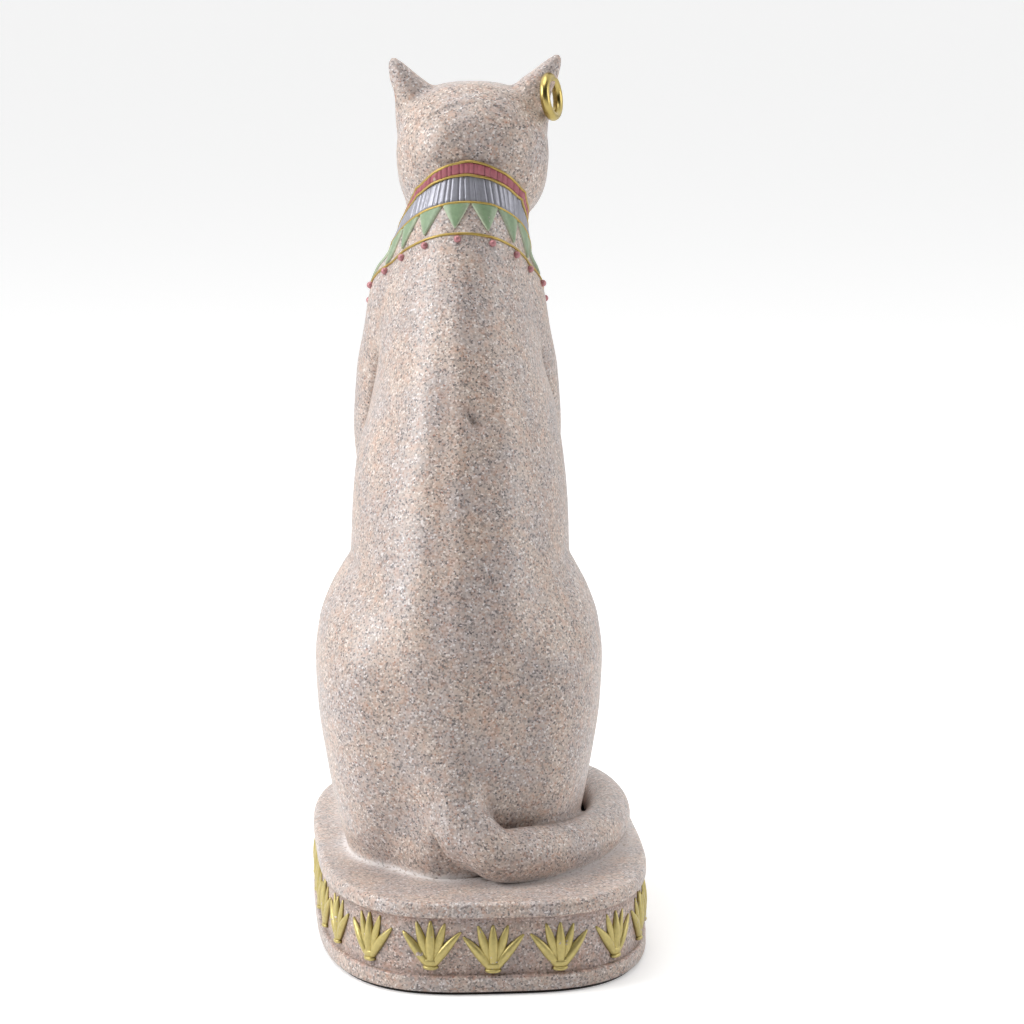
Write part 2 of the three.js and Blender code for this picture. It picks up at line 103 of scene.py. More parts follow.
# %% [markdown]
# ## Working in the cat's own frame
# The shapes below are written in millimetres, with the cat looking along -Y, just as a carver would
# measure them. The cat stands a few degrees askew on its plinth, so one matrix carries a finished
# mesh from the cat's frame to the statue's frame in metres.

# %% Frames and small helpers
FELT_THICKNESS = (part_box("felt_pad")[1].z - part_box("felt_pad")[0].z) / MM
PLINTH_HEIGHT = 28.8
CAT_OFFSET = 5.4
CAT_TURN = math.radians(-4.2)
FOOT_SINK = 1.5
FOOT_LEVEL = PLINTH_HEIGHT - FOOT_SINK

PLINTH_FRAME = Matrix.Scale(MM, 4)
CAT_FRAME = (
    PLINTH_FRAME
    @ Matrix.Rotation(CAT_TURN, 4, "Z")
    @ Matrix.Translation((CAT_OFFSET, 0, 0))
)


def coordinates(mesh):
    flat = np.empty(len(mesh.vertices) * 3)
    mesh.vertices.foreach_get("co", flat)
    return flat.reshape(-1, 3)


def set_coordinates(mesh, points):
    mesh.vertices.foreach_set("co", points.ravel())
    mesh.update()


def mesh_from(bm, name):
    bmesh.ops.recalc_face_normals(bm, faces=bm.faces)
    mesh = bpy.data.meshes.new(name)
    bm.to_mesh(mesh)
    bm.free()
    return mesh


def object_from(bm, name):
    return link_object(name, mesh_from(bm, name))


# %% [markdown]
# ## Smooth tables
# Each body form is a stack of ovals, given at a few named heights. Between them the values follow a
# cubic that never overshoots, so a waist stays as narrow as it was measured.

# %% Read a table between its rows
def cubic_through(keys, values, slopes, key):
    """Values between the rows, on cubics that pass each row at the slope given for it."""
    place = np.clip(np.searchsorted(keys, key) - 1, 0, len(keys) - 2)
    span = (keys[place + 1] - keys[place])[:, None]
    t = np.clip((key - keys[place])[:, None] / span, 0, 1)
    leaving, arriving = slopes[place] * span, slopes[place + 1] * span
    curve = values[place] * (2 * t**3 - 3 * t**2 + 1) + leaving * (t**3 - 2 * t**2 + t)
    curve += values[place + 1] * (3 * t**2 - 2 * t**3) + arriving * (t**3 - t**2)
    return curve


def smooth_table(stations):
    rows = np.array(stations, float)
    keys, values = rows[:, 0], rows[:, 1:]
    rises = np.diff(values, axis=0) / np.diff(keys)[:, None]
    before, after = rises[:-1], rises[1:]
    agree = before * after > 0
    slopes = np.zeros_like(values)
    slopes[1:-1][agree] = 2 * before[agree] * after[agree] / (before + after)[agree]

    def at(key):
        return cubic_through(keys, values, slopes, key).T

    at.low, at.high = keys[0], keys[-1]
    return at


# %% The cat's forms
# Each row is a height, the centre across, half-width, rear, front and squareness
TRUNK = smooth_table([
    (FOOT_LEVEL, 0, 32.5, 54.5, -15, 2.1),
    (36, 0, 34.2, 57, -20, 2.1),
    (50, 0, 36.6, 60.5, -26, 2.15),
    (70, 0, 38.4, 62.5, -32, 2.2),
    (90, 0, 38.2, 61, -37, 2.2),
    (105, -0.2, 36.6, 57.5, -41, 2.2),
    (120, -0.4, 34.8, 53, -44.5, 2.1),
    (135, -0.5, 34.3, 47.5, -48, 2.05),
    (150, -0.5, 33, 41.5, -51, 2.05),
    (165, -1.3, 29.8, 34.5, -54, 2.05),
    (180, -0.6, 26.4, 27.5, -56, 2.1),
    (192, -0.2, 25.4, 21.5, -56.5, 2.05),
    (203, -0.2, 24, 15.5, -54.5, 2),
    (213, -0.8, 22, 10.5, -50, 2),
    (222, -1.7, 19.8, 6.5, -45, 2),
    (231, -2.6, 17.6, 2.5, -41, 2),
    (243, -3.6, 16.2, -4, -38, 2),
])
FORELEG = smooth_table([
    (FOOT_LEVEL, 13.5, 7.2, -50.5, -64, 2),
    (48, 13.8, 6.9, -49.5, -63, 2),
    (75, 15.2, 7.9, -45.5, -61.5, 2),
    (105, 17.6, 9.6, -37, -59.5, 2),
    (130, 20, 11.2, -27, -57, 2),
    (155, 21.6, 12.2, -19, -53, 2),
    (174, 20.5, 12.1, -13, -48, 2),
    (190, 18.8, 11, -6, -43, 2),
    (200, 17.8, 10.4, -6, -39, 2),
    (208, 16.8, 8.4, -9, -35, 2),
    (216, 15.5, 3.5, -14, -28, 2),
])
HAUNCH = smooth_table([
    (FOOT_LEVEL, 22, 12.8, 42.5, -14, 2.2),
    (40, 22.5, 15.7, 49, -25, 2.2),
    (58, 23, 19, 53, -33, 2.2),
    (75, 23.3, 21.5, 53.5, -36, 2.2),
    (89, 23.5, 22, 51.5, -35, 2.2),
    (100, 23.5, 20.8, 47, -30, 2.1),
    (110, 23, 17.8, 39, -22, 2.05),
    (118, 22.5, 12.5, 28, -10, 2),
    (124, 22, 4, 15, 3, 2),
])
SHOULDER_SHIFT = 0.5

# The head lies along Y: its rows start with how far forward they are, and have a top and a bottom
HEAD_CENTRE = -4.6
HEAD_REAR = -1
HEAD = smooth_table([
    (8, HEAD_CENTRE, 18.8, 262.5, 226.5, 2.3),
    (16, HEAD_CENTRE, 23, 266.8, 222.5, 2.5),
    (26, HEAD_CENTRE, 24.2, 267.6, 220.5, 2.6),
    (36, HEAD_CENTRE, 22.4, 265, 220.5, 2.4),
    (44, HEAD_CENTRE, 17.6, 258.6, 221.8, 2.2),
    (50, HEAD_CENTRE, 13.4, 251.4, 223.2, 2.1),
    (56, HEAD_CENTRE, 11, 246, 225, 2.1),
    (60, HEAD_CENTRE, 8.2, 243, 228, 2),
    (62, HEAD_CENTRE, 2, 238, 234, 2),
])
EAR = smooth_table([
    (244, 12, 2, -22, -32, 2),
    (249, 15.4, 5.8, -18.4, -35.4, 2),
    (255, 17.2, 7, -17.6, -36, 2),
    (261, 18.2, 6.9, -18.4, -34, 2),
    (265, 19, 6.7, -19.2, -32.6, 2),
    (267.5, 20.2, 6, -19.8, -31.4, 2),
    (270, 21.9, 4.6, -20.4, -30, 2),
    (272.5, 23.5, 3.2, -21.3, -28.4, 2),
    (274.3, 24.5, 2, -22.2, -26.8, 2),
    (275.5, 25, 0.9, -23.3, -25.4, 2),
])
RIGHT_EAR_RISE = 0.5
RIGHT_EAR_LEAN = 1.8
LEAN_FROM = 261


def ear_lean(side, z):
    """How much further out an ear stands at a height: only the right one leans."""
    share = np.clip((z - LEAN_FROM) / (EAR.high - LEAN_FROM), 0, 1)
    return RIGHT_EAR_LEAN * share if side < 0 else 0 * share


print("trunk from", TRUNK.low, "to", TRUNK.high, "mm")

# %% [markdown]
# ## The tail
# The tail leaves the rump, turns to the cat's right and lies on the plinth round the haunch. Its middle
# line is a smooth curve through a few points, and a table gives its thickness from root to tip. A
# Bezier curve with a bevel would do too, but the field below also needs the line's points.

# %% The tail's line and thickness
TAIL_LINE = [
    (0, 46, 68), (-0.6, 57.5, 57), (-3.5, 63.5, 46), (-11, 65.6, 38), (-22, 59.6, 36.2),
    (-34.4, 46, 35.2), (-43.8, 27.2, 34.7), (-47.8, 4.6, 34.7), (-46.6, -16, 34.6),
    (-41.4, -36, 34.2), (-33, -50, 33.8),
]
TAIL_RADIUS = smooth_table([
    (0, 5), (0.1, 5.8), (0.2, 7.8), (0.3, 8.5), (0.5, 7.6), (0.9, 6.4), (0.96, 5.4), (0.99, 3.2),
    (1, 0.4),
])
FINE_STEPS = 8


def distance_along(line):
    """How far along a line each of its points is."""
    return np.r_[0, np.cumsum(np.linalg.norm(np.diff(line, axis=0), axis=1))]


def points_along(line, distances, wanted):
    return np.stack([np.interp(wanted, distances, column) for column in line.T], axis=1)


def smooth_line(points, count):
    """Points at even distances along a smooth curve through the given points."""
    given = np.array(points, float)
    steps = np.r_[0, np.cumsum(np.sqrt(np.linalg.norm(np.diff(given, axis=0), axis=1)))]
    fine = np.linspace(0, steps[-1], count * FINE_STEPS)
    line = cubic_through(steps, given, np.gradient(given, steps, axis=0), fine)
    distances = distance_along(line)
    return points_along(line, distances, np.linspace(0, distances[-1], count))


TAIL_STEPS = 110
TAIL_POINTS = smooth_line(TAIL_LINE, TAIL_STEPS)
TAIL_RADII = TAIL_RADIUS(np.linspace(0, 1, TAIL_STEPS))[0]
print("tail length:", round(float(distance_along(TAIL_POINTS)[-1])), "mm")

# %% [markdown]
# ## A field that joins the forms softly
# Carved stone has no hard seams where a thigh leaves the rump. A field gives each point its distance
# to the nearest form, negative inside. Two fields join with a small fillet when their minimum is
# smoothed, and relief is added by taking its height away from the field. A sculptor could push clay
# by hand instead, but the field gives the same soft joins at any mesh size.

# %% Distances to single forms
# TINY keeps a division from ending in infinity at a form's middle
TINY = 1e-6
FAR_OFF = 50.0
TAIL_TOP = 85


def stack_field(table, along, across, depth):
    centre, half_width, rear, front, squareness = table(along)
    a = np.abs(across - centre)
    d = np.abs(depth - (rear + front) / 2)
    oval = (a / half_width) ** squareness + (2 * d / np.abs(rear - front)) ** squareness
    scale = np.maximum(oval ** (1 / squareness), TINY)
    wall = np.hypot(a, d) * (1 - 1 / scale)
    return np.maximum(wall, np.maximum(table.low - along, along - table.high))


def egg_field(points, centre, radii):
    offset = points - np.array(centre)
    near = np.linalg.norm(offset / np.array(radii), axis=1)
    steep = np.linalg.norm(offset / np.array(radii) ** 2, axis=1)
    return near * (near - 1) / np.maximum(steep, TINY)


def tail_field(points):
    field = np.full(len(points), FAR_OFF)
    low = points[:, 2] < TAIL_TOP
    for centre, radius in zip(TAIL_POINTS, TAIL_RADII):
        reach = np.linalg.norm(points[low] - centre, axis=1) - radius
        field[low] = np.minimum(field[low], reach)
    return field


def soft_union(a, b, reach):
    overlap = np.maximum(reach - np.abs(a - b), 0) / reach
    return np.minimum(a, b) - overlap**2 * reach / 4


def soft_cut(a, b, reach):
    return -soft_union(-a, b, reach)


def soft_spot(across, up, half_across, half_up):
    return np.exp(-((across / half_across) ** 2) - (up / half_up) ** 2)


# %% [markdown]
# ## Relief on the back
# The back shows a spine like the ridge of a roof between the shoulders, fading to a low swelling
# between two furrows further down. The lower ends of the shoulder blades stand out a little, and one
# small casting pit lies beside the spine. A height below zero carves a hollow.

# %% Carve the back
RIDGE_HEIGHT = smooth_table([
    (FOOT_LEVEL, 0), (75, 0.4), (140, 1), (172, 2), (200, 2.2), (214, 1.3), (226, 0.2), (236, 0),
])
RIDGE_REACH = 5.2
RIDGE_ROUNDING = 0.9
FURROW = {"across": 5.5, "z": 122, "half_across": 4, "half_up": 48, "height": -0.45}
BLADES = [
    {"across": 12.5, "z": 168, "half_across": 8, "half_up": 13, "height": 1.5},
    {"across": -14.5, "z": 170, "half_across": 9, "half_up": 15, "height": 1.2},
]
PIT = {"across": -3, "z": 167.3, "half_across": 1.3, "half_up": 2.9, "depth": 2.6,
       "lean": 0.6, "narrowing": 0.12, "narrowest": 0.4, "widest": 1.4}


def spot_height(spot, across, z):
    return spot["height"] * soft_spot(across - spot["across"], z - spot["z"],
                                      spot["half_across"], spot["half_up"])


def back_relief(across, z):
    ridge = np.exp((RIDGE_ROUNDING - np.hypot(across, RIDGE_ROUNDING)) / RIDGE_REACH)
    relief = RIDGE_HEIGHT(z)[0] * ridge + spot_height(FURROW, np.abs(across), z)
    for blade in BLADES:
        relief += spot_height(blade, across, z)
    above_pit = z - PIT["z"]
    pit_across = across - PIT["across"] - PIT["lean"] * above_pit
    narrowing = np.clip(1 - PIT["narrowing"] * above_pit, PIT["narrowest"], PIT["widest"])
    pit = soft_spot(pit_across, above_pit, PIT["half_across"] * narrowing, PIT["half_up"])
    return relief - PIT["depth"] * pit


# %% [markdown]
# ## The paws
# Four plain paws lie side by side on the plinth, hidden in the photograph. An egg makes each pad and
# four long eggs its toes. Eggs join softly to the legs, and their overlaps leave the lines between toes.

# %% Paws as eggs, with four toes each
FORE_PAW = {"across": 13.5, "heel": -50, "toe": -78, "half_width": 9, "height": 13}
HIND_PAW = {"across": 30, "heel": 6, "toe": -54, "half_width": 8.4, "height": 13}
PAD = {"middle": 0.4, "half_height": 0.6}
TOE_COUNT = 4
TOE = {"overlap": 1.2, "set_back": 5.2, "fan": 1.6, "half_length": 6.4, "middle": 0.3,
       "half_height": 0.42}


def paw_eggs(side, paw):
    """The centre and radii of a paw's pad, and of each toe; heights are shares of the paw's."""
    x = side * paw["across"]
    heel, tip, half_width, height = paw["heel"], paw["toe"], paw["half_width"], paw["height"]
    pad = ((x, (heel + tip) / 2, PLINTH_HEIGHT + PAD["middle"] * height),
           (half_width, (heel - tip) / 2, PAD["half_height"] * height))
    toe_half = half_width / TOE_COUNT * TOE["overlap"]
    toe_z = PLINTH_HEIGHT + TOE["middle"] * height
    toes = []
    for i in range(TOE_COUNT):
        place = 2 * i / (TOE_COUNT - 1) - 1
        reach = tip + TOE["set_back"] + TOE["fan"] * place**2
        toes.append(((x + place * (half_width - toe_half), reach, toe_z),
                     (toe_half, TOE["half_length"], TOE["half_height"] * height)))
    return pad, toes


# %% [markdown]
# ## The face
# The photograph shows the cat from behind only, so the face is a plain one of the builder's own: a
# wedge of a muzzle, a small nose, a closed mouth and long almond eyes with raised lids, calm and
# symmetric, as such figures have.

# %% Carve the face
CHIN = ((HEAD_CENTRE, -60.3, 229.6), (5.4, 4.6, 4))
NOSE = ((HEAD_CENTRE, -61.6, 241), (3.6, 3, 2.6))
CHEEK = {"across": 5, "y": -59, "z": 234.8, "radii": (5.4, 5.2, 4.6)}
EYE = {"across": 12.8, "y": -46.2, "z": 248.4, "half_length": 7.4, "half_height": 3.3, "reach": 6}
EYE_SLANT = math.radians(14)
EYE_TURN = math.radians(48)
EYEBALL_HEIGHT = 1.5
LID = {"height": 1.1, "half_width": 0.3}
SOCKET = {"depth": 1.5, "half_length": 10, "half_height": 5.6}
BROW = {"height": 1.1, "up": 6.4, "droop": 0.03, "half_width": 1.4, "half_length": 9}
BRIDGE = {"half_width": 3.4, "height": 1.3, "low": 240, "low_fade": 4, "high": 262, "high_fade": 8,
          "front": (-40, 3)}
MUZZLE_FRONT = (-50, 1.5)
GROOVE = {"z": 236.4, "half_across": 0.6, "half_up": 2.6, "depth": 0.6}
MOUTH = {"z": 232.4, "rise": 0.16, "curl": 0.03, "half_up": 0.65, "half_across": 8, "depth": 0.75}
NOSTRIL = {"across": 1.7, "z": 240.2, "half_across": 0.7, "half_up": 0.6, "height": 0.9}


def cheek(side):
    return (HEAD_CENTRE + side * CHEEK["across"], CHEEK["y"], CHEEK["z"]), CHEEK["radii"]


def in_front(y, place, blend):
    """1 in front of a place on the head, 0 behind it, and blended over a distance."""
    return 1 / (1 + np.exp((y - place) / blend))


def eye_relief(x, y, z):
    """Height of the lids, eyeball, brow and socket, seen square to the side of the face."""
    across = np.abs(x - HEAD_CENTRE) - EYE["across"]
    along = y - EYE["y"]
    up = z - EYE["z"]
    level = across * math.cos(EYE_TURN) + along * math.sin(EYE_TURN)
    out = across * math.sin(EYE_TURN) - along * math.cos(EYE_TURN)
    u = level * math.cos(EYE_SLANT) + up * math.sin(EYE_SLANT)
    v = up * math.cos(EYE_SLANT) - level * math.sin(EYE_SLANT)
    almond = np.abs(v) / EYE["half_height"] + (u / EYE["half_length"]) ** 2 - 1
    ball = EYEBALL_HEIGHT * np.sqrt(np.clip(-almond, 0, 1))
    lid = LID["height"] * np.exp(-((almond / LID["half_width"]) ** 2))
    socket = SOCKET["depth"] * soft_spot(u, v, SOCKET["half_length"], SOCKET["half_height"])
    above_brow = v - BROW["up"] + BROW["droop"] * u**2
    brow = BROW["height"] * soft_spot(above_brow, u, BROW["half_width"], BROW["half_length"])
    return (ball + lid - socket + brow) * np.exp(-((out / EYE["reach"]) ** 2))


def muzzle_relief(x, y, z):
    """Bridge of the nose, the groove under it and the line of the mouth."""
    across = np.abs(x - HEAD_CENTRE)
    bridge = BRIDGE["height"] * np.exp(-((across / BRIDGE["half_width"]) ** 4))
    bridge *= (np.clip((z - BRIDGE["low"]) / BRIDGE["low_fade"], 0, 1)
               * np.clip((BRIDGE["high"] - z) / BRIDGE["high_fade"], 0, 1))
    bridge *= in_front(y, *BRIDGE["front"])
    groove = (GROOVE["depth"] * np.exp(-((across / GROOVE["half_across"]) ** 2))
              * np.exp(-(((z - GROOVE["z"]) / GROOVE["half_up"]) ** 2)))
    mouth_line = MOUTH["z"] + MOUTH["rise"] * across + MOUTH["curl"] * across**2
    mouth = (MOUTH["depth"] * np.exp(-(((z - mouth_line) / MOUTH["half_up"]) ** 2))
             * np.exp(-((across / MOUTH["half_across"]) ** 6)))
    hollows = groove + mouth + spot_height(NOSTRIL, across, z)
    return bridge - in_front(y, *MUZZLE_FRONT) * hollows


# %% [markdown]
# ## All forms together
# The body's field and the head's field share the neck, so that the two meshes meet exactly there. Each
# join has a reach of its own: wide where the haunch swells out of the rump, narrow between the toes.
# The crease behind the upper foreleg is deepest where leg and ribs are equally near.

# %% The whole cat as one field
EAR_HOLLOW = {"across": 24.9, "y": -33.5, "z": 263.5, "radii": (6.6, 9.8, 9)}
JOIN = {"haunch": 7, "foreleg": 3.5, "head": 4, "ear": 3, "pad": 3, "toe": 1.1, "tail": 2.2, "face": 2,
        "skull": 1.5, "swell": 8, "hollow": 1}
RELIEF_FADE = 12

# The cat's right, then its left
BOTH_SIDES = (-1, 1)

# Centre and radii of the round rear of the skull, and of the swelling beside the tail's root
SKULL_REAR = ((HEAD_CENTRE, -21, 244.6), (24, 20, 22.5))
RUMP_SWELL = ((3, 47.5, 35), (14, 14.5, 15))

# On the rump the tail's join widens from the cat's right to its left
TAIL_FLARE = {"reach": 15, "from": -11, "to": 3, "rear": 30}
ARMPIT = {"low": 152, "high": 186, "fade": 5, "front": -36, "half": 1.6, "depth": 1.3}


def hollow_egg(side):
    across = side * (EAR_HOLLOW["across"] + ear_lean(side, EAR_HOLLOW["z"]))
    return (HEAD_CENTRE + across, EAR_HOLLOW["y"], EAR_HOLLOW["z"]), EAR_HOLLOW["radii"]


def trunk_field(x, y, z):
    centre, _, rear, front, _ = TRUNK(z)
    behind = np.clip((y - (rear + front) / 2) / RELIEF_FADE, 0, 1)
    return stack_field(TRUNK, z, x, y) - behind * back_relief(x - centre, z)


def armpit(difference, y, z):
    """Depth of the crease behind the upper foreleg: deepest where leg and ribs are equally near."""
    window = np.clip((z - ARMPIT["low"]) / ARMPIT["fade"], 0, 1)
    window *= np.clip((ARMPIT["high"] - z) / ARMPIT["fade"], 0, 1) * (y > ARMPIT["front"])
    return ARMPIT["depth"] * window * np.exp(-((difference / ARMPIT["half"]) ** 2))


def neck_field(points):
    """Trunk, forelegs and the bare form of the head: all that the collar touches."""
    x, y, z = points.T
    field = trunk_field(x, y, z)
    for side in BOTH_SIDES:
        leg = stack_field(FORELEG, z, side * (x - SHOULDER_SHIFT), y)
        crease = armpit(leg - field, y, z)
        field = soft_union(field, leg, JOIN["foreleg"]) + crease
    skull = stack_field(HEAD, HEAD_REAR - y, x, z)
    skull = soft_union(skull, egg_field(points, *SKULL_REAR), JOIN["skull"])
    return soft_union(field, skull, JOIN["head"])


def body_field(points):
    x, y, z = points.T
    field = neck_field(points)
    for side in BOTH_SIDES:
        field = soft_union(field, stack_field(HAUNCH, z, side * x, y), JOIN["haunch"])
        for paw in (FORE_PAW, HIND_PAW):
            pad, toes = paw_eggs(side, paw)
            field = soft_union(field, egg_field(points, *pad), JOIN["pad"])
            for toe in toes:
                field = soft_union(field, egg_field(points, *toe), JOIN["toe"])
    field = soft_union(field, egg_field(points, *RUMP_SWELL), JOIN["swell"])
    flare = np.clip((x - TAIL_FLARE["from"]) / (TAIL_FLARE["to"] - TAIL_FLARE["from"]), 0, 1)
    reach = JOIN["tail"] + (TAIL_FLARE["reach"] - JOIN["tail"]) * flare * (y > TAIL_FLARE["rear"])
    return soft_union(field, tail_field(points), reach)


def head_field(points):
    x, y, z = points.T
    field = neck_field(points)
    for side in BOTH_SIDES:
        across = side * (x - HEAD_CENTRE) - ear_lean(side, z)
        ear = stack_field(EAR, z + side * RIGHT_EAR_RISE, across, y)
        field = soft_union(field, ear, JOIN["ear"])
        field = soft_union(field, egg_field(points, *cheek(side)), JOIN["face"])
    for egg in (CHIN, NOSE):
        field = soft_union(field, egg_field(points, *egg), JOIN["face"])
    field -= muzzle_relief(x, y, z) + eye_relief(x, y, z)
    for side in BOTH_SIDES:
        field = soft_cut(field, egg_field(points, *hollow_egg(side)), JOIN["hollow"])
    return field


# %% Settle points onto the skin
SLOPE_STEP = 0.05
LARGEST_MOVE = 1.5
FLATTEST = 0.1


def field_slope(points, field):
    value = field(points)
    steps = SLOPE_STEP * np.eye(3)
    slope = np.stack([(field(points + step) - value) / SLOPE_STEP for step in steps], axis=1)
    return value, slope


def settle(points, field, passes=4):
    """Moves points onto the skin of a field, a short way each time."""
    for _ in range(passes):
        value, slope = field_slope(points, field)
        move = value / np.maximum((slope**2).sum(axis=1), FLATTEST)
        shift = slope * move[:, None]
        length = np.linalg.norm(shift, axis=1)[:, None]
        points = points - shift * np.minimum(1, LARGEST_MOVE / np.maximum(length, TINY))
    return points


# %% [markdown]
# ## Blocking out the cat
# Each form starts as a ball from bmesh, whose rings of vertices are moved to the ovals of its table.
# The balls overlap. A voxel remesh then wraps them in one even skin, as a sculptor's first coat of
# clay does, and the skin settles onto the field.

# %% Turn balls into body forms
def signed_power(value, power):
    return np.sign(value) * np.abs(value) ** power


def shaped_ball(bm, place, columns, rows, layer=None):
    """A ball whose vertices go where place(angle, share, spread) says, pole to pole.

    With a layer, place gives a fourth number for each vertex, and the layer keeps it."""
    ball = bmesh.ops.create_uvsphere(bm, u_segments=columns, v_segments=rows, radius=1)
    verts = ball["verts"]
    unit = np.array([vert.co for vert in verts])
    ring = np.round(np.arccos(np.clip(-unit[:, 2], -1, 1)) / math.pi * rows)
    angle = np.arctan2(unit[:, 1], unit[:, 0])
    share = np.clip((ring - 1) / (rows - 2), 0, 1)
    spread = ((ring > 0) & (ring < rows)).astype(float)
    for vert, row in zip(verts, place(angle, share, spread)):
        vert.co = row[:3]
        if layer:
            vert[layer] = row[3]
    return verts


def add_stack(bm, table, to_space, columns=48, rows=60):
    def place(angle, share, spread):
        along = table.low + (table.high - table.low) * share
        centre, half_width, rear, front, squareness = table(along)
        across = centre + spread * half_width * signed_power(np.cos(angle), 2 / squareness)
        middle, half_depth = (rear + front) / 2, (rear - front) / 2
        depth = middle + spread * half_depth * signed_power(np.sin(angle), 2 / squareness)
        return to_space(along, across, depth)

    return shaped_ball(bm, place, columns, rows)


def add_egg(bm, centre, radii, columns=32, rows=20):
    scale = Matrix.Diagonal((*radii, 1))
    return bmesh.ops.create_uvsphere(bm, u_segments=columns, v_segments=rows, radius=1,
                                     matrix=Matrix.Translation(centre) @ scale)


def upright(side=1, shift=0):
    return lambda along, across, depth: np.stack([side * across + shift, depth, along], axis=1)


def leaning(side):
    def to_space(along, across, depth):
        height = along - side * RIGHT_EAR_RISE
        x = HEAD_CENTRE + side * (across + ear_lean(side, height))
        return np.stack([x, depth, height], axis=1)

    return to_space


def lengthwise(along, across, depth):
    return np.stack([across, HEAD_REAR - along, depth], axis=1)


def add_tail(bm):
    tangents = np.gradient(TAIL_POINTS, axis=0)
    tangents /= np.linalg.norm(tangents, axis=1)[:, None]
    sideways = np.cross(tangents, (0, 0, 1))
    sideways /= np.linalg.norm(sideways, axis=1)[:, None]
    upward = np.cross(sideways, tangents)

    def place(angle, share, spread):
        at = np.round(share * (TAIL_STEPS - 1)).astype(int)
        radius = (spread * TAIL_RADII[at])[:, None]
        around = np.cos(angle)[:, None] * sideways[at] + np.sin(angle)[:, None] * upward[at]
        return TAIL_POINTS[at] + radius * around

    return shaped_ball(bm, place, columns=24, rows=TAIL_STEPS + 1)


# %% Wrap the forms in one skin
def evaluated_mesh(piece):
    """The mesh that an object's modifiers make of it."""
    bpy.context.view_layer.update()
    depsgraph = bpy.context.evaluated_depsgraph_get()
    return bpy.data.meshes.new_from_object(piece.evaluated_get(depsgraph))


def wrapped_skin(bm, name, voxel):
    blocks = object_from(bm, name + "_blocks")
    remesh = blocks.modifiers.new("skin", "REMESH")
    remesh.mode = "VOXEL"
    remesh.voxel_size = voxel
    skin = evaluated_mesh(blocks)
    bpy.data.objects.remove(blocks)
    return skin


def hollowed_ear(bm, side):
    """Adds one ear, cut out by its hollow."""
    ear_bm = bmesh.new()
    add_stack(ear_bm, EAR, leaning(side), columns=32, rows=40)
    hollow_bm = bmesh.new()
    add_egg(hollow_bm, *hollow_egg(side))
    ear = object_from(ear_bm, "ear_block")
    hollow = object_from(hollow_bm, "hollow_block")
    cut = ear.modifiers.new("cut", "BOOLEAN")
    cut.operation = "DIFFERENCE"
    cut.solver = "EXACT"
    cut.object = hollow
    carved = evaluated_mesh(ear)
    bm.from_mesh(carved)
    bpy.data.meshes.remove(carved)
    bpy.data.objects.remove(ear)
    bpy.data.objects.remove(hollow)


CUT_REACH = 1e-5


def fill_rims(bm):
    rims = [edge for edge in bm.edges if edge.is_boundary]
    bmesh.ops.holes_fill(bm, edges=rims, sides=0)


def cut_at(bm, point, normal, keep_below):
    """Cuts off all that lies above a plane, or below it, and closes the cut."""
    everything = bm.verts[:] + bm.edges[:] + bm.faces[:]
    bmesh.ops.bisect_plane(bm, geom=everything, dist=CUT_REACH, plane_co=point, plane_no=normal,
                           clear_outer=keep_below, clear_inner=not keep_below)
    fill_rims(bm)


# %% [markdown]
# ## Body and head
# The body's skin is meshed at about a millimetre. The head is small and full of detail, so it gets
# half that. They meet on a slanting plane through the neck, where the silver band covers the join.

# %% Make the body and the head
NECK_CUT = {"nape": 237.3, "slope": 0.77, "overlap": 0.6}
BODY_VOXEL = 1.04
HEAD_VOXEL = 0.5
NECK_FROM = 188
FOOT_OVERLAP = 0.6
FOOT_CUT = Vector((0, 0, PLINTH_HEIGHT - FOOT_OVERLAP))
UPWARD = Vector((0, 0, 1))


def block_out_body():
    bm = bmesh.new()
    add_stack(bm, TRUNK, upright())
    for side in BOTH_SIDES:
        add_stack(bm, FORELEG, upright(side, SHOULDER_SHIFT))
        add_stack(bm, HAUNCH, upright(side))
        for paw in (FORE_PAW, HIND_PAW):
            pad, toes = paw_eggs(side, paw)
            for egg in (pad, *toes):
                add_egg(bm, *egg)
    add_stack(bm, HEAD, lengthwise)
    add_tail(bm)
    return bm


def block_out_head():
    bm = bmesh.new()
    add_stack(bm, TRUNK, upright())
    for side in BOTH_SIDES:
        add_stack(bm, FORELEG, upright(side, SHOULDER_SHIFT))
    cut_at(bm, (0, 0, NECK_FROM), UPWARD, keep_below=False)
    add_stack(bm, HEAD, lengthwise)
    for side in BOTH_SIDES:
        hollowed_ear(bm, side)
        add_egg(bm, *cheek(side))
    for egg in (CHIN, NOSE):
        add_egg(bm, *egg)
    return bm


def skinned_part(name, bm, voxel, field, cuts):
    mesh = wrapped_skin(bm, name, voxel)
    set_coordinates(mesh, settle(coordinates(mesh), field))
    bm = bmesh.new()
    bm.from_mesh(mesh)
    for point, normal, keep_below in cuts:
        cut_at(bm, point, normal, keep_below)
    bm.to_mesh(mesh)
    bm.free()
    return mesh


def neck_plane(lowered=0):
    return Vector((0, 0, NECK_CUT["nape"] - lowered)), Vector((0, -NECK_CUT["slope"], 1)).normalized()


body_mesh = skinned_part(
    "cat_body", block_out_body(), BODY_VOXEL, body_field,
    [(*neck_plane(), True), (FOOT_CUT, UPWARD, False)],
)
head_mesh = skinned_part(
    "cat_head", block_out_head(), HEAD_VOXEL, head_field,
    [(*neck_plane(NECK_CUT["overlap"]), False)],
)

# %% [markdown]
# ## Where creases get painted shade
# Creases are painted darker, as painted shade. The mesh itself tells where they are: a vertex that lies
# below the mean of its neighbours is in a hollow. The values are kept as attributes, which materials and
# the export can both read.

# %% Measure hollows
def store(mesh, name, values):
    attribute = mesh.attributes.new(name, "FLOAT", "POINT")
    attribute.data.foreach_set("value", values.astype(np.float32))


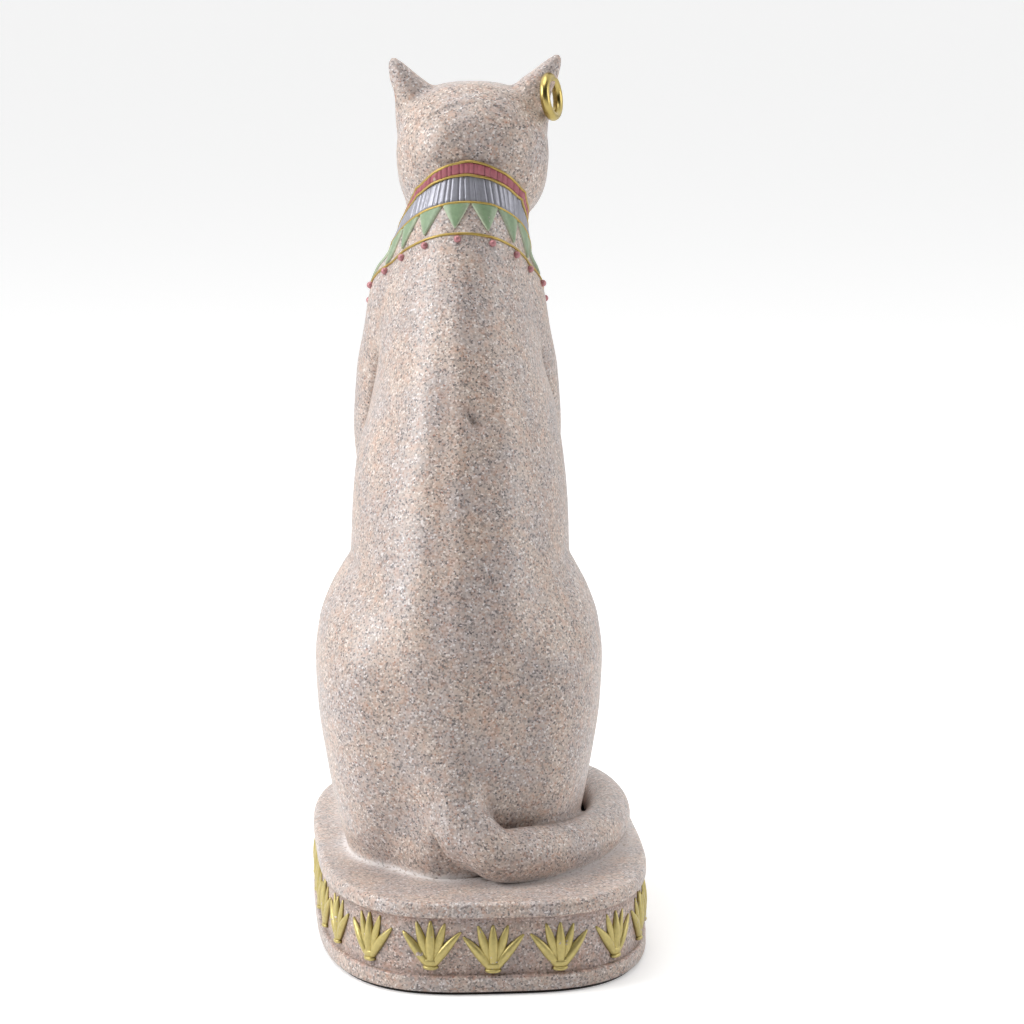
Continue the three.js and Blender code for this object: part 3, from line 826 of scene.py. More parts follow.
def mesh_edges(mesh):
    edges = np.empty(len(mesh.edges) * 2, dtype=int)
    mesh.edges.foreach_get("vertices", edges)
    return edges.reshape(-1, 2)


def neighbour_mean(values, edges):
    total = np.zeros_like(values)
    count = np.zeros(len(values))
    for near, far in ((0, 1), (1, 0)):
        np.add.at(total, edges[:, near], values[edges[:, far]])
        np.add.at(count, edges[:, near], 1)
    count = count.reshape(-1, *[1] * (values.ndim - 1))
    return total / np.maximum(count, 1)


HOLLOW_ROUNDS = 6
EVENING_ROUNDS = 2
CONTACT_REACH = 0.9


def measure_hollows(mesh, depth):
    """Stores 0 to 1 as a vertex lies deeper in a crease; depth is what counts as full."""
    points = coordinates(mesh)
    edges = mesh_edges(mesh)
    normals = np.empty(len(points) * 3)
    mesh.vertices.foreach_get("normal", normals)
    smooth = points
    for _ in range(HOLLOW_ROUNDS):
        smooth = neighbour_mean(smooth, edges)
    value = ((smooth - points) * normals.reshape(-1, 3)).sum(axis=1) / depth
    for _ in range(EVENING_ROUNDS):
        value = neighbour_mean(value, edges)
    store(mesh, "hollow", np.clip(value, 0, 1))


def measure_contact(mesh):
    """Stores how near a vertex is to the seam between the cat and its plinth."""
    above = coordinates(mesh)[:, 2] - PLINTH_HEIGHT
    store(mesh, "seam", np.exp(-np.abs(above) / CONTACT_REACH))


measure_hollows(body_mesh, depth=0.55)
measure_hollows(head_mesh, depth=0.3)
measure_contact(body_mesh)

# %% [markdown]
# ## The plinth
# The plinth is a rounded oblong: a squarish oval, moulded with a ledge above and below a recessed
# frieze. One loop of edges is drawn round it, and bmesh extrudes that loop up the profile. Its faces
# aren't perfectly flat on the real thing, so the wall gets a slow wobble of a fifth of a millimetre.

# %% Draw the outline of the plinth
STATUE_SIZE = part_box("statue")[1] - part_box("statue")[0]
FLOWER_PROUD = 0.4
PLINTH = {
    "half_width": round(STATUE_SIZE.x / MM / 2 - FLOWER_PROUD, 1),
    "half_length": 89,
    "squareness": 3.14,
    "ledge": 5.2,
    "recess": 1.4,
    "edge_round": 2.1,
    "upper_lift": 0.4,
}
FRIEZE_LOW = FELT_THICKNESS + PLINTH["ledge"]
FRIEZE_HIGH = PLINTH_HEIGHT - PLINTH["ledge"]
OUTLINE_STEPS = 6000


def plinth_outline():
    """The plinth's widest outline, from the middle of its rear, anticlockwise seen from above."""
    angle = math.pi / 2 + np.linspace(0, 2 * math.pi, OUTLINE_STEPS + 1)
    power = 2 / PLINTH["squareness"]
    return np.stack([PLINTH["half_width"] * signed_power(np.cos(angle), power),
                     PLINTH["half_length"] * signed_power(np.sin(angle), power)], axis=1)


OUTLINE = plinth_outline()
OUTLINE_DISTANCE = distance_along(OUTLINE)
OUTLINE_LENGTH = OUTLINE_DISTANCE[-1]
NORMAL_STEP = 1.5


def outline_at(distance):
    return points_along(OUTLINE, OUTLINE_DISTANCE, np.mod(distance, OUTLINE_LENGTH))


def on_wall(distance, z, outward):
    """Points at a distance round the plinth's wall, at a height, pushed out of it or into it."""
    distance = np.asarray(distance, float)
    along = outline_at(distance + NORMAL_STEP) - outline_at(distance - NORMAL_STEP)
    along /= np.linalg.norm(along, axis=1)[:, None]
    out = np.stack([along[:, 1], -along[:, 0]], axis=1)
    flat = outline_at(distance) + out * np.broadcast_to(outward, distance.shape)[:, None]
    return np.c_[flat, np.broadcast_to(z, distance.shape)]


print("plinth outline:", round(float(OUTLINE_LENGTH)), "mm round")


# %% Extrude the plinth up its profile
# Inset and height over the felt, at the rounded foot of the wall
FOOT_ROUND = [(0.8, 0), (0.25, 0.2), (0, 0.8), (0, 2.6)]
LEDGE_ROUND = 0.9


def quarter_round(inset, z, reach, rise, steps=5):
    """Profile points of a rounded corner that goes in by reach while it goes up by rise."""
    turns = np.linspace(0, math.pi / 2, steps + 1)
    return [(inset + reach * (1 - math.cos(t)), z + rise * math.sin(t)) for t in turns]


def plinth_profile():
    """Pairs of inset and height, from the underside to the rounded edge of the top."""
    low = FRIEZE_LOW
    high = FRIEZE_HIGH + PLINTH["upper_lift"]
    recess = PLINTH["recess"]
    top_round = PLINTH["edge_round"]
    profile = [(inset, FELT_THICKNESS + up) for inset, up in FOOT_ROUND]
    profile += quarter_round(0, low - LEDGE_ROUND, recess - 0.15, LEDGE_ROUND)
    profile += [(recess, z) for z in np.linspace(low + 0.5, high - 0.5, 9)]
    profile += [(recess - 0.25, high - 0.15), (recess - 0.9, high + 0.1), (0.1, high + 0.45),
                (0, high + 0.9), (0, PLINTH_HEIGHT - top_round - 0.4)]
    profile += quarter_round(0, PLINTH_HEIGHT - top_round, top_round, top_round, 7)
    return profile


PLINTH_COLUMNS = 300
TOP_EDGE, TOP_MIDDLE = 0.98, 0.2
TOP_RINGS = 44
WALL_WOBBLE = {"size": 26, "height": 0.22}
WOBBLE_RISE = 3


def wobble(points, size, height):
    """Moves points by a slow noise, so that a cast surface isn't machine-flat."""
    shift = np.array([noise.noise_vector(Vector(point) / size) for point in points])
    return points + height * shift


def loop_of(points, bm):
    """A closed loop of edges through points, drawn as a bmesh circle."""
    circle = bmesh.ops.create_circle(bm, segments=len(points), radius=1)
    for vert, point in zip(circle["verts"], points):
        vert.co = point
    return list({edge for vert in circle["verts"] for edge in vert.link_edges}), circle["verts"]


def extruded_up(bm, edges, verts, loops):
    """Extrudes a loop of edges through the loops of points that follow; gives the last edges."""
    for points in loops:
        made = bmesh.ops.extrude_edge_only(bm, edges=edges)["geom"]
        new_verts = [item for item in made if isinstance(item, bmesh.types.BMVert)]
        below = {vert: i for i, vert in enumerate(verts)}
        order = {}
        for vert in new_verts:
            for edge in vert.link_edges:
                other = edge.other_vert(vert)
                if other in below:
                    order[below[other]] = vert
        verts = [order[i] for i in range(len(points))]
        for vert, point in zip(verts, points):
            vert.co = point
        edges = [item for item in made if isinstance(item, bmesh.types.BMEdge)
                 and all(end not in below for end in item.verts)]
    return edges


def round_wall(profile):
    """One loop of points round the plinth for each inset and height of a profile."""
    distance = OUTLINE_LENGTH * np.arange(PLINTH_COLUMNS) / PLINTH_COLUMNS
    return [on_wall(distance, z, -inset) for inset, z in profile]


def closed_stack(name, loops):
    """A solid skin through loops of points, with its first and last loop filled."""
    bm = bmesh.new()
    edges, verts = loop_of(loops[0], bm)
    bmesh.ops.holes_fill(bm, edges=edges, sides=0)
    edges = extruded_up(bm, edges, verts, loops[1:])
    bmesh.ops.holes_fill(bm, edges=edges, sides=0)
    return mesh_from(bm, name)


def make_plinth():
    loops = round_wall(plinth_profile())
    shares = np.linspace(TOP_EDGE, TOP_MIDDLE, TOP_RINGS)
    mesh = closed_stack("plinth", loops + [loops[-1] * (share, share, 1) for share in shares])
    points = coordinates(mesh)
    held = np.clip((points[:, 2] - FELT_THICKNESS) / WOBBLE_RISE, 0, 1)[:, None]
    moved = wobble(points, **WALL_WOBBLE)
    moved[:, 2] = np.minimum(moved[:, 2], PLINTH_HEIGHT)
    set_coordinates(mesh, points + held * (moved - points))
    return mesh


plinth_mesh = make_plinth()
measure_hollows(plinth_mesh, depth=0.6)

# %% [markdown]
# ## The lotus frieze
# Twenty-three lotus flowers stand in the frieze. A flower is five pointed leaves fanned out of a
# small cup: the outer two in front, the middle one between them and two more behind. Each leaf starts
# as a ball that is pulled to a leaf's outline and laid on the wall, so the row follows the plinth's
# curve. The leaves are few-sided, because they are repeated over a hundred times. Most flowers stand
# at even distances, and the five at the rear are set one by one where the photograph shows them.

# %% Shape the leaves and cups
FLOWER_COUNT = 23
FLOWER_BOTTOM = 6.7
LEAF_SINK = 0.4
LEAF_STEPS = 12
SWELLING_ROWS = 9
WIDEST_SHARE = 0.34
NARROWEST_WIDTH = 0.2
LOWEST_CROWN = 0.3
CROWN_POWER = 0.8
LEAF_FOOT = 0.4
TIP_POWER = 2.2
SMALLEST_TAPER = 0.12
RIM_FADE = 1.3
FLOWER_SEED = 23
SHORTEST_GROWTH = 0.94
FLOWER_SHIFT = -0.8

# How far a flower stands aside and up from its even place, by its number from the rear
HAND_SET = {20: (-1.2, 1.1), 21: (-0.2, 1.1), 22: (1.2, 1.1), 0: (-0.6, 0.1), 1: (-0.8, 0.1)}
EVEN_SET = (0, 0.6)
LEAVES = [
    {"lean": 0.29, "length": 15.7, "half": 1.6, "relief": 1.15, "bow": 0.15, "start": 2.6},
    {"lean": 0, "length": 15.7, "half": 1.75, "relief": 1.8, "bow": 0, "start": 1.6},
    {"lean": 0.57, "length": 15.3, "half": 1.6, "relief": 1.65, "bow": 1.5, "start": 1.6},
]
WEB = {"bottom": 1, "top": 8.4, "low_half": 2.5, "high_half": 5, "relief": 0.85}
CUP = {"bottom": 1, "top": 3.8, "low_half": 2.6, "high_half": 3.3, "relief": 1.6}
LIP = {"bottom": 0, "top": 1.5, "low_half": 2.3, "high_half": 2.8, "relief": 1.75}


def leaf_outline(share):
    """1 at a leaf's widest place, 0 at its tip, and narrower where it leaves the cup."""
    widening = np.sqrt(np.clip(share / WIDEST_SHARE, 0, 1)) * (1 - LEAF_FOOT) + LEAF_FOOT
    tapering = np.clip((share - WIDEST_SHARE) / (1 - WIDEST_SHARE), 0, 1)
    return widening * (1 - tapering**TIP_POWER)


def on_ground(distance, z, crown, height):
    """Points on the frieze's ground: raised on a ball's near side, and sunk a little on its far one."""
    out = np.where(crown > 0, height, LEAF_SINK * crown)
    return on_wall(distance, z, out - PLINTH["recess"])


def add_leaf(bm, layer, distance, bottom, leaf, side, growth):
    """One pointed leaf on the wall, leaning to one side and bowed outwards at its tip."""
    def place(angle, share, spread):
        reach = leaf["start"] + (leaf["length"] * growth - leaf["start"]) * share
        width = leaf_outline(share)
        filled = NARROWEST_WIDTH + (1 - NARROWEST_WIDTH) * width
        across = spread * leaf["half"] * filled * np.cos(angle)
        bend = leaf["bow"] * share**2
        along = reach * math.sin(leaf["lean"]) + (across + bend) * math.cos(leaf["lean"])
        up = reach * math.cos(leaf["lean"]) - (across + bend) * math.sin(leaf["lean"])
        crown = spread * np.sin(angle)
        fullness = LOWEST_CROWN + (1 - LOWEST_CROWN) * width
        height = leaf["relief"] * fullness * signed_power(np.clip(crown, 0, 1), CROWN_POWER)
        spot = on_ground(distance + side * along, bottom + up, crown, height)
        # Edges of the leaf are marked as hollow, so the paint lays painted shade where it meets the
        # ground
        return np.c_[spot, 1 - np.clip(crown * RIM_FADE, 0, 1)]

    shaped_ball(bm, place, LEAF_STEPS, LEAF_STEPS, layer)


def add_swelling(bm, layer, distance, bottom, size):
    """A low rounded form that widens upwards: the web behind the leaves, the cup or its lip."""
    def place(angle, share, spread):
        up = size["bottom"] + (size["top"] - size["bottom"]) * share
        half = size["low_half"] + (size["high_half"] - size["low_half"]) * share
        taper = np.sqrt(np.clip(1 - (2 * share - 1) ** 4, SMALLEST_TAPER, 1))
        across = spread * half * taper * np.cos(angle)
        crown = spread * np.sin(angle)
        spot = on_ground(distance + across, bottom + up, crown, size["relief"] * taper * crown)
        # Edges of the swelling are marked as hollow, for painted shade where it meets the ground
        return np.c_[spot, 1 - np.clip(crown * RIM_FADE, 0, 1) * taper]

    shaped_ball(bm, place, LEAF_STEPS, SWELLING_ROWS, layer)


def make_flowers():
    bm = bmesh.new()
    layer = bm.verts.layers.float.new("hollow")
    chance = np.random.default_rng(FLOWER_SEED)
    for i in range(FLOWER_COUNT):
        aside, lift = HAND_SET.get(i, EVEN_SET)
        distance = FLOWER_SHIFT + OUTLINE_LENGTH * i / FLOWER_COUNT + aside
        bottom = FLOWER_BOTTOM + lift
        for leaf in LEAVES:
            for side in BOTH_SIDES if leaf["lean"] else (1,):
                growth = chance.uniform(SHORTEST_GROWTH, 1)
                add_leaf(bm, layer, distance, bottom, leaf, side, growth)
        for swelling in (WEB, CUP, LIP):
            add_swelling(bm, layer, distance, bottom, swelling)
    return mesh_from(bm, "lotus_frieze")


flowers_mesh = make_flowers()
flower_points = coordinates(flowers_mesh)
print("flowers reach", round(float(np.abs(flower_points[:, 0]).max()), 2), "mm to the side")

# %% [markdown]
# ## The collar
# The collar is relief on the neck: a rose band and a silver band, both fluted, three gold lines, a
# row of green points, one more thin gold line and a row of rose beads. Every line is where the neck's
# skin meets a slanting plane, lifted a little at the nape, so the script looks for the skin along
# rays from the neck's middle. Grids from bmesh are then wrapped round the neck.

# %% Find the skin of the neck
SECOND_DROP = 2.4
THIRD_DROP = 9
COLLAR_LINE = {"nape": 238.8, "slope": 0.7, "lift": 5.9}
LOWEST_LINE = {"nape": 218, "slope": 0.63, "lift": 0}
NECK_CENTRE = (-1.6, -19)
INNERMOST, OUTERMOST = 5.0, 60.0
HALVINGS = 26


def neck_skin(line, angle, drop):
    """Points on the skin and the skin's normals, in directions round the neck from the nape."""
    angle, drop = np.broadcast_arrays(np.asarray(angle, float), np.asarray(drop, float))
    across, behind = np.sin(angle), np.cos(angle)
    lift = line["lift"] * np.clip(1 - drop / THIRD_DROP, 0, None) * np.clip(behind, 0, 1) ** 2

    def at(radius):
        y = NECK_CENTRE[1] + radius * behind
        return np.stack([NECK_CENTRE[0] + radius * across, y,
                         line["nape"] + lift - drop + line["slope"] * y], axis=1)

    inner = np.full(angle.shape, INNERMOST)
    outer = np.full(angle.shape, OUTERMOST)
    for _ in range(HALVINGS):
        middle = (inner + outer) / 2
        inside = neck_field(at(middle)) < 0
        inner = np.where(inside, middle, inner)
        outer = np.where(inside, outer, middle)
    points = at(inner)
    slope = field_slope(points, neck_field)[1]
    return points, slope / np.linalg.norm(slope, axis=1)[:, None]


MERGE_REACH = 1e-4


def wrapped_grid(name, points, values=None, open_ends=False):
    """A closed skin from points in a grid that joins up both ways, or only round when its two
    ends are open; those are filled. The values become attributes."""
    columns, rows = points.shape[:2]
    gaps = rows - 1 if open_ends else rows
    bm = bmesh.new()
    bmesh.ops.create_grid(bm, x_segments=columns, y_segments=gaps, size=0.5)
    layers = {key: bm.verts.layers.float.new(key) for key in (values or {})}
    for vert in bm.verts:
        i = round((vert.co.x + 0.5) * columns) % columns
        j = round((vert.co.y + 0.5) * gaps) % rows
        vert.co = points[i, j]
        for key, layer in layers.items():
            vert[layer] = values[key][i, j]
    bmesh.ops.remove_doubles(bm, verts=bm.verts, dist=MERGE_REACH)
    if open_ends:
        fill_rims(bm)
    return mesh_from(bm, name)


def round_turn(count):
    """Even angles round a full turn."""
    return 2 * math.pi * np.arange(count) / count


# %% [markdown]
# ## Fluted bands
# Narrow upright bars were cut into the rose band and the silver band by hand, so their widths drift.
# Rows of the grid lie on the skin, rise on each bar and sink in each groove. The last rows are under
# the skin and close the band. A bump map would be lighter, but the bars show on the outline.

# %% Make the fluted bands
FLUTE_COUNT = 66
FLUTE_STEPS = 8
BAND_COLUMNS = FLUTE_COUNT * FLUTE_STEPS
FLUTE_DEPTH = 0.5
BAND_SINK = 0.9
BANDS = {
    "rose_band": {"from": 0.15, "to": SECOND_DROP - 0.15, "relief": 0.7},
    "silver_band": {"from": SECOND_DROP + 0.15, "to": THIRD_DROP - 0.15, "relief": 0.8},
}
# How full the relief is at each share of a band's height
EDGE_FADE = [(0, 0.35), (0.05, 0.8), (0.15, 1), (0.85, 1), (0.95, 0.8), (1, 0.35)]

# How the bars drift: waves round the neck, their size and where they start
FLUTE_DRIFT = [(5, 0.22, 1), (13, 0.16, 2), (29, 0.1, 0)]
BAR_POWER = 3.5


def flute_profile(angle):
    """0 in the groove between two bars and 1 on a bar; hand-cut bars aren't quite even."""
    drift = sum(size * np.sin(waves * angle + start) for waves, size, start in FLUTE_DRIFT)
    phase = np.mod(FLUTE_COUNT * angle / (2 * math.pi) + drift, 1)
    bar = np.abs(2 * phase - 1)
    return np.sqrt(np.clip(1 - bar**BAR_POWER, 0, 1))


def make_band(name, band):
    angle = round_turn(BAND_COLUMNS)
    flute = flute_profile(angle)
    high, low = band["from"], band["to"]
    rows, groove_shade = [], []
    for share, full in EDGE_FADE:
        points, normals = neck_skin(COLLAR_LINE, angle, high + (low - high) * share)
        relief = full * (band["relief"] - FLUTE_DEPTH * (1 - flute))
        rows.append(points + normals * relief[:, None])
        # Grooves are marked as hollow, so the paint lays painted shade in them
        groove_shade.append(1 - flute * full)
    for drop in (low, (high + low) / 2, high):
        points, normals = neck_skin(COLLAR_LINE, angle, drop)
        rows.append(points - normals * BAND_SINK)
        groove_shade.append(np.ones(BAND_COLUMNS))
    return wrapped_grid(name, np.stack(rows, axis=1), {"hollow": np.stack(groove_shade, axis=1)})


band_meshes = {name: make_band(name, band) for name, band in BANDS.items()}

# %% [markdown]
# ## Gold lines
# Raised lines, thinner than a millimetre, edge the bands and carry the beads. Each is a round wire half
# sunk in the skin. It wavers and swells a little, as a line does that was laid by hand.

# %% Lay the gold lines
LINE_COLUMNS = 240
WIRE_SIDES = 10
WIRE_RADIUS = 0.42
WIRE_SINK = 0.4 * WIRE_RADIUS
LINE_WAVER = 0.18
WIRE_UNEVENNESS = 0.12

# Waves round the neck and the share that each has in a waver
WAVES = [(3, 0.5), (7, 0.3), (11, 0.25), (19, 0.2)]
GOLD_LINES = {
    "gold_line_top": {"line": COLLAR_LINE, "drop": 0, "relief": 0.5},
    "gold_line_middle": {"line": COLLAR_LINE, "drop": SECOND_DROP, "relief": 0.75},
    "gold_line_lower": {"line": COLLAR_LINE, "drop": THIRD_DROP, "relief": 0.7},
    "gold_line_lowest": {"line": LOWEST_LINE, "drop": 0, "relief": 0.3},
}


def uneven(angle, seed, size):
    """A slow, closed waver round the neck, as a hand-laid line has."""
    return size * sum(share * np.sin(count * angle + seed * count) for count, share in WAVES)


def make_gold_line(name, line, drop, relief, seed):
    angle = round_turn(LINE_COLUMNS)
    points, normals = neck_skin(line, angle, drop + uneven(angle, seed, LINE_WAVER))
    along = np.roll(points, -1, axis=0) - np.roll(points, 1, axis=0)
    along /= np.linalg.norm(along, axis=1)[:, None]
    sideways = np.cross(along, normals)
    centre = points + normals * (relief - WIRE_SINK)
    thickness = WIRE_RADIUS * (1 + uneven(angle, seed + 2, WIRE_UNEVENNESS))
    rows = [centre + thickness[:, None] * (math.cos(turn) * normals + math.sin(turn) * sideways)
            for turn in round_turn(WIRE_SIDES)]
    return wrapped_grid(name, np.stack(rows, axis=1))


line_meshes = {
    name: make_gold_line(name, seed=seed, **line)
    for seed, (name, line) in enumerate(GOLD_LINES.items())
}

# %% [markdown]
# ## Green points and rose beads
# Under the bands hangs a row of flat green triangles with a pale rim, a painted highlight on their
# edges, and small round beads follow the lowest line. A triangle is a grid that narrows to its tip. Its
# cross-section has a flat top, a bevel on each side and a sunk back, and an attribute tells the paint
# where the rim is.

# %% Make the points and the beads
POINT_COUNT = 15
POINT_TURN = 0.1
POINT = {"half_angle": 0.207, "drop": 10.4, "relief": 0.75}
POINT_ROWS = 12
POINT_RIM, POINT_END = 0.9, 0.97

# Round a point's cross-section: across, raised, and how much of the pale rim, a painted highlight, it
# has
POINT_SECTION = [
    (-1, -0.6, 1), (-1, 0.55, 1), (-0.84, 1, 0.35), (-0.3, 1, 0), (0.3, 1, 0),
    (0.84, 1, 0.35), (1, 0.55, 1), (1, -0.6, 1), (0.5, -0.6, 1), (-0.5, -0.6, 1),
]
BEAD_COUNT = 18
BEAD = {"radius": 1.15, "drop": 2.35, "rise": 0.4, "start": 1.6}
BEAD_STEPS = 4 * LINE_COLUMNS


def make_green_point(middle):
    """One flat, bevelled triangle on the skin, pointing down."""
    across, raised, rim_highlight = np.array(POINT_SECTION).T
    rows, rims = [], []
    for share in np.linspace(0, POINT_END, POINT_ROWS):
        half = POINT["half_angle"] * (1 - share)
        points, normals = neck_skin(COLLAR_LINE, middle + half * across,
                                    THIRD_DROP + POINT["drop"] * share)
        rows.append(points + normals * (POINT["relief"] * raised)[:, None])
        # The sides and the tip carry the pale rim, a painted highlight
        rims.append(np.minimum(1, rim_highlight + (share > POINT_RIM)))
    values = {"rim_highlight": np.stack(rims, axis=1)}
    return wrapped_grid("green_point", np.stack(rows, axis=1), values, open_ends=True)


def joined_meshes(meshes, name):
    bm = bmesh.new()
    for mesh in meshes:
        bm.from_mesh(mesh)
        bpy.data.meshes.remove(mesh)
    mesh = bpy.data.meshes.new(name)
    bm.to_mesh(mesh)
    bm.free()
    return mesh


def make_beads():
    """Half-sunk beads at even distances under the lowest line, the first just aside of the nape."""
    line, normals = neck_skin(LOWEST_LINE, round_turn(BEAD_STEPS), BEAD["drop"])
    steps = np.linalg.norm(np.roll(line, -1, axis=0) - line, axis=1)
    distance = np.cumsum(steps) - steps
    bm = bmesh.new()
    for i in range(BEAD_COUNT):
        place = BEAD["start"] + steps.sum() * i / BEAD_COUNT
        at = np.searchsorted(distance, place) % len(line)
        centre = line[at] + normals[at] * BEAD["rise"]
        add_egg(bm, centre, [BEAD["radius"]] * 3, columns=16, rows=10)
    print("lowest line:", round(float(steps.sum())), "mm round")
    return mesh_from(bm, "rose_beads")


points_mesh = joined_meshes(
    [make_green_point(POINT_TURN + turn) for turn in round_turn(POINT_COUNT)], "green_points"
)
beads_mesh = make_beads()

# %% [markdown]
# ## Earring and felt
# The hoop is a plain ring of gold-coloured metal. A full spin of a circle of edges makes it. The felt
# is the plinth's outline, a little smaller, extruded by its thickness.

# %% Spin the hoop and extrude the felt
HOOP = {"ring_radius": 6.2, "wire_radius": 1.6, "section_steps": 28, "ring_steps": 72}
HOOP_CENTRE = Vector((HEAD_CENTRE - 25.1, -21, 263))
HOOP_TURN = math.radians(70.5)
HOOP_LEAN = math.radians(8.5)


def make_hoop():
    bm = bmesh.new()
    section = bmesh.ops.create_circle(bm, segments=HOOP["section_steps"],
                                      radius=HOOP["wire_radius"])
    bmesh.ops.translate(bm, verts=section["verts"], vec=(HOOP["ring_radius"], 0, 0))
    edges = list(bm.edges)
    bmesh.ops.rotate(bm, verts=bm.verts, cent=(0, 0, 0),
                     matrix=Matrix.Rotation(math.pi / 2, 3, "X"))
    bmesh.ops.spin(bm, geom=section["verts"] + edges, cent=(0, 0, 0), axis=(0, 0, 1),
                   angle=2 * math.pi, steps=HOOP["ring_steps"], use_merge=True,
                   use_duplicate=False)
    bmesh.ops.remove_doubles(bm, verts=bm.verts, dist=MERGE_REACH)
    to_ear = (
        Matrix.Translation(HOOP_CENTRE)
        @ Matrix.Rotation(HOOP_LEAN, 4, "Y")
        @ Matrix.Rotation(HOOP_TURN, 4, "Z")
        @ Matrix.Rotation(math.pi / 2, 4, "X")
    )
    bm.transform(to_ear)
    return mesh_from(bm, "hoop")


FELT_INSET = 1.4
LOW_BEVEL, HIGH_BEVEL = 0.25, 0.2

hoop_mesh = make_hoop()
felt_mesh = closed_stack("felt", round_wall([
    (FELT_INSET + LOW_BEVEL, 0),
    (FELT_INSET, LOW_BEVEL),
    (FELT_INSET, FELT_THICKNESS - HIGH_BEVEL),
    (FELT_INSET + HIGH_BEVEL, FELT_THICKNESS),
]))

# %% [markdown]
# ## Where the wash stays
# Before the last coat was rubbed off, a thin brown wash ran into the frieze: it stays in the corners
# by the ledges and round the flowers. A pale, grainy line marks where the cat meets its plinth in the
# mould. Both are stored on the plinth's mesh as attributes, and the body's mesh has the line too.

# %% Measure the wash and the seam
FLOWER_SPACING = OUTLINE_LENGTH / FLOWER_COUNT
FLOWER_WASH = {"half_across": 6.5, "z": 13.5, "half_up": 7, "share": 0.45}
LEDGE_WASH = {"low_reach": 1.1, "high_reach": 1.3, "share": 0.8}
GROUND_WASH = 0.25
WASH_MARGIN = 0.6
SEAM_REACH = 2.1
TOP_DEPTH = 1


def turn_from_rear(x, y):
    return np.mod(np.arctan2(y, x) - math.pi / 2, 2 * math.pi)


def measure_wash(mesh):
    x, y, z = coordinates(mesh).T
    distance = np.interp(turn_from_rear(x, y), turn_from_rear(*OUTLINE[:-1].T),
                         OUTLINE_DISTANCE[:-1])
    half = FLOWER_SPACING / 2
    aside = np.abs(np.mod(distance - FLOWER_SHIFT + half, FLOWER_SPACING) - half)
    near_flower = (np.exp(-((aside / FLOWER_WASH["half_across"]) ** 2))
                   * np.exp(-(((z - FLOWER_WASH["z"]) / FLOWER_WASH["half_up"]) ** 2)))
    near_ledge = (np.exp(-((z - FRIEZE_LOW) / LEDGE_WASH["low_reach"]) ** 2)
                  + np.exp(-((z - FRIEZE_HIGH) / LEDGE_WASH["high_reach"]) ** 2))
    in_frieze = (z > FRIEZE_LOW - WASH_MARGIN) & (z < FRIEZE_HIGH + WASH_MARGIN)
    wash = GROUND_WASH + FLOWER_WASH["share"] * near_flower + LEDGE_WASH["share"] * near_ledge
    store(mesh, "wash", np.clip(wash, 0, 1) * in_frieze)


def measure_seam(mesh, to_cat):
    """The plinth's top near the cat: how close each vertex is to the cat's skin."""
    points = coordinates(mesh) @ np.array(to_cat.to_3x3()).T + np.array(to_cat.translation)
    gap = np.maximum(body_field(points), 0)
    on_top = points[:, 2] > PLINTH_HEIGHT - TOP_DEPTH
    store(mesh, "seam", np.exp(-gap / SEAM_REACH) * on_top)


measure_wash(plinth_mesh)
measure_seam(plinth_mesh, CAT_FRAME.inverted() @ PLINTH_FRAME)

# %% [markdown]
# ## Building materials from nodes
# A material is a small network. A few short helpers keep it readable: each adds a node, fills its
# inputs and gives the output that is needed. Patterns read Object coordinates, turned into
# millimetres.

# %% Node helpers
def fill_inputs(tree, sockets, inputs):
    """Links each input that is given as a socket, and sets any other value."""
    for name, value in inputs.items():
        if isinstance(value, bpy.types.NodeSocket):
            tree.links.new(value, sockets[name])
        else:
            sockets[name].default_value = value


def add_node(tree, kind, inputs=None, **settings):
    made = tree.nodes.new("ShaderNode" + kind)
    for name, value in settings.items():
        setattr(made, name, value)
    fill_inputs(tree, made.inputs, inputs or {})
    return made


def math_node(tree, operation, first, second, third=0.5, clamp=False):
    inputs = {0: first, 1: second, 2: third}
    return add_node(tree, "Math", inputs, operation=operation, use_clamp=clamp).outputs[0]


def times(tree, first, second, clamp=False):
    return math_node(tree, "MULTIPLY", first, second, clamp=clamp)


def times_plus(tree, first, second, added):
    return math_node(tree, "MULTIPLY_ADD", first, second, added)


def mixed(tree, share, first, second, blend="MIX"):
    made = add_node(tree, "Mix", data_type="RGBA", blend_type=blend)
    sockets = {socket.identifier: socket for socket in [*made.inputs, *made.outputs]}
    fill_inputs(tree, sockets, {"Factor_Float": share, "A_Color": first, "B_Color": second})
    return sockets["Result_Color"]


def ramp(tree, value, stops, interpolation="LINEAR"):
    made = add_node(tree, "ValToRGB", {"Fac": value})
    scale = made.color_ramp
    scale.interpolation = interpolation
    while len(scale.elements) < len(stops):
        scale.elements.new(1)
    for element, (place, color) in zip(scale.elements, stops):
        element.position = place
        element.color = color
    return made.outputs["Color"]


def fade(tree, value, start, end):
    """0 below start, 1 above end and smooth between them."""
    made = add_node(tree, "MapRange", {"Value": value, "From Min": start, "From Max": end},
                    interpolation_type="SMOOTHSTEP")
    return made.outputs["Result"]


def attribute(tree, name):
    return add_node(tree, "Attribute", attribute_name=name).outputs["Fac"]


def noise_value(tree, where, scale, detail):
    made = add_node(tree, "TexNoise", {"Vector": where, "Scale": scale, "Detail": detail})
    return made.outputs["Fac"]


def bumped(tree, height, strength, depth):
    """Normals that follow a pattern of heights; the depth is in millimetres."""
    made = add_node(tree, "Bump", {"Height": height, "Strength": strength, "Distance": depth * MM})
    return made.outputs["Normal"]


def srgb(red, green, blue):
    """A colour as a painter reads it, 0 to 255, in the linear values that nodes use."""
    shares = [channel / 255 for channel in (red, green, blue)]
    return tuple(s / 12.92 if s <= 0.04045 else ((s + 0.055) / 1.055) ** 2.4 for s in shares) + (1,)


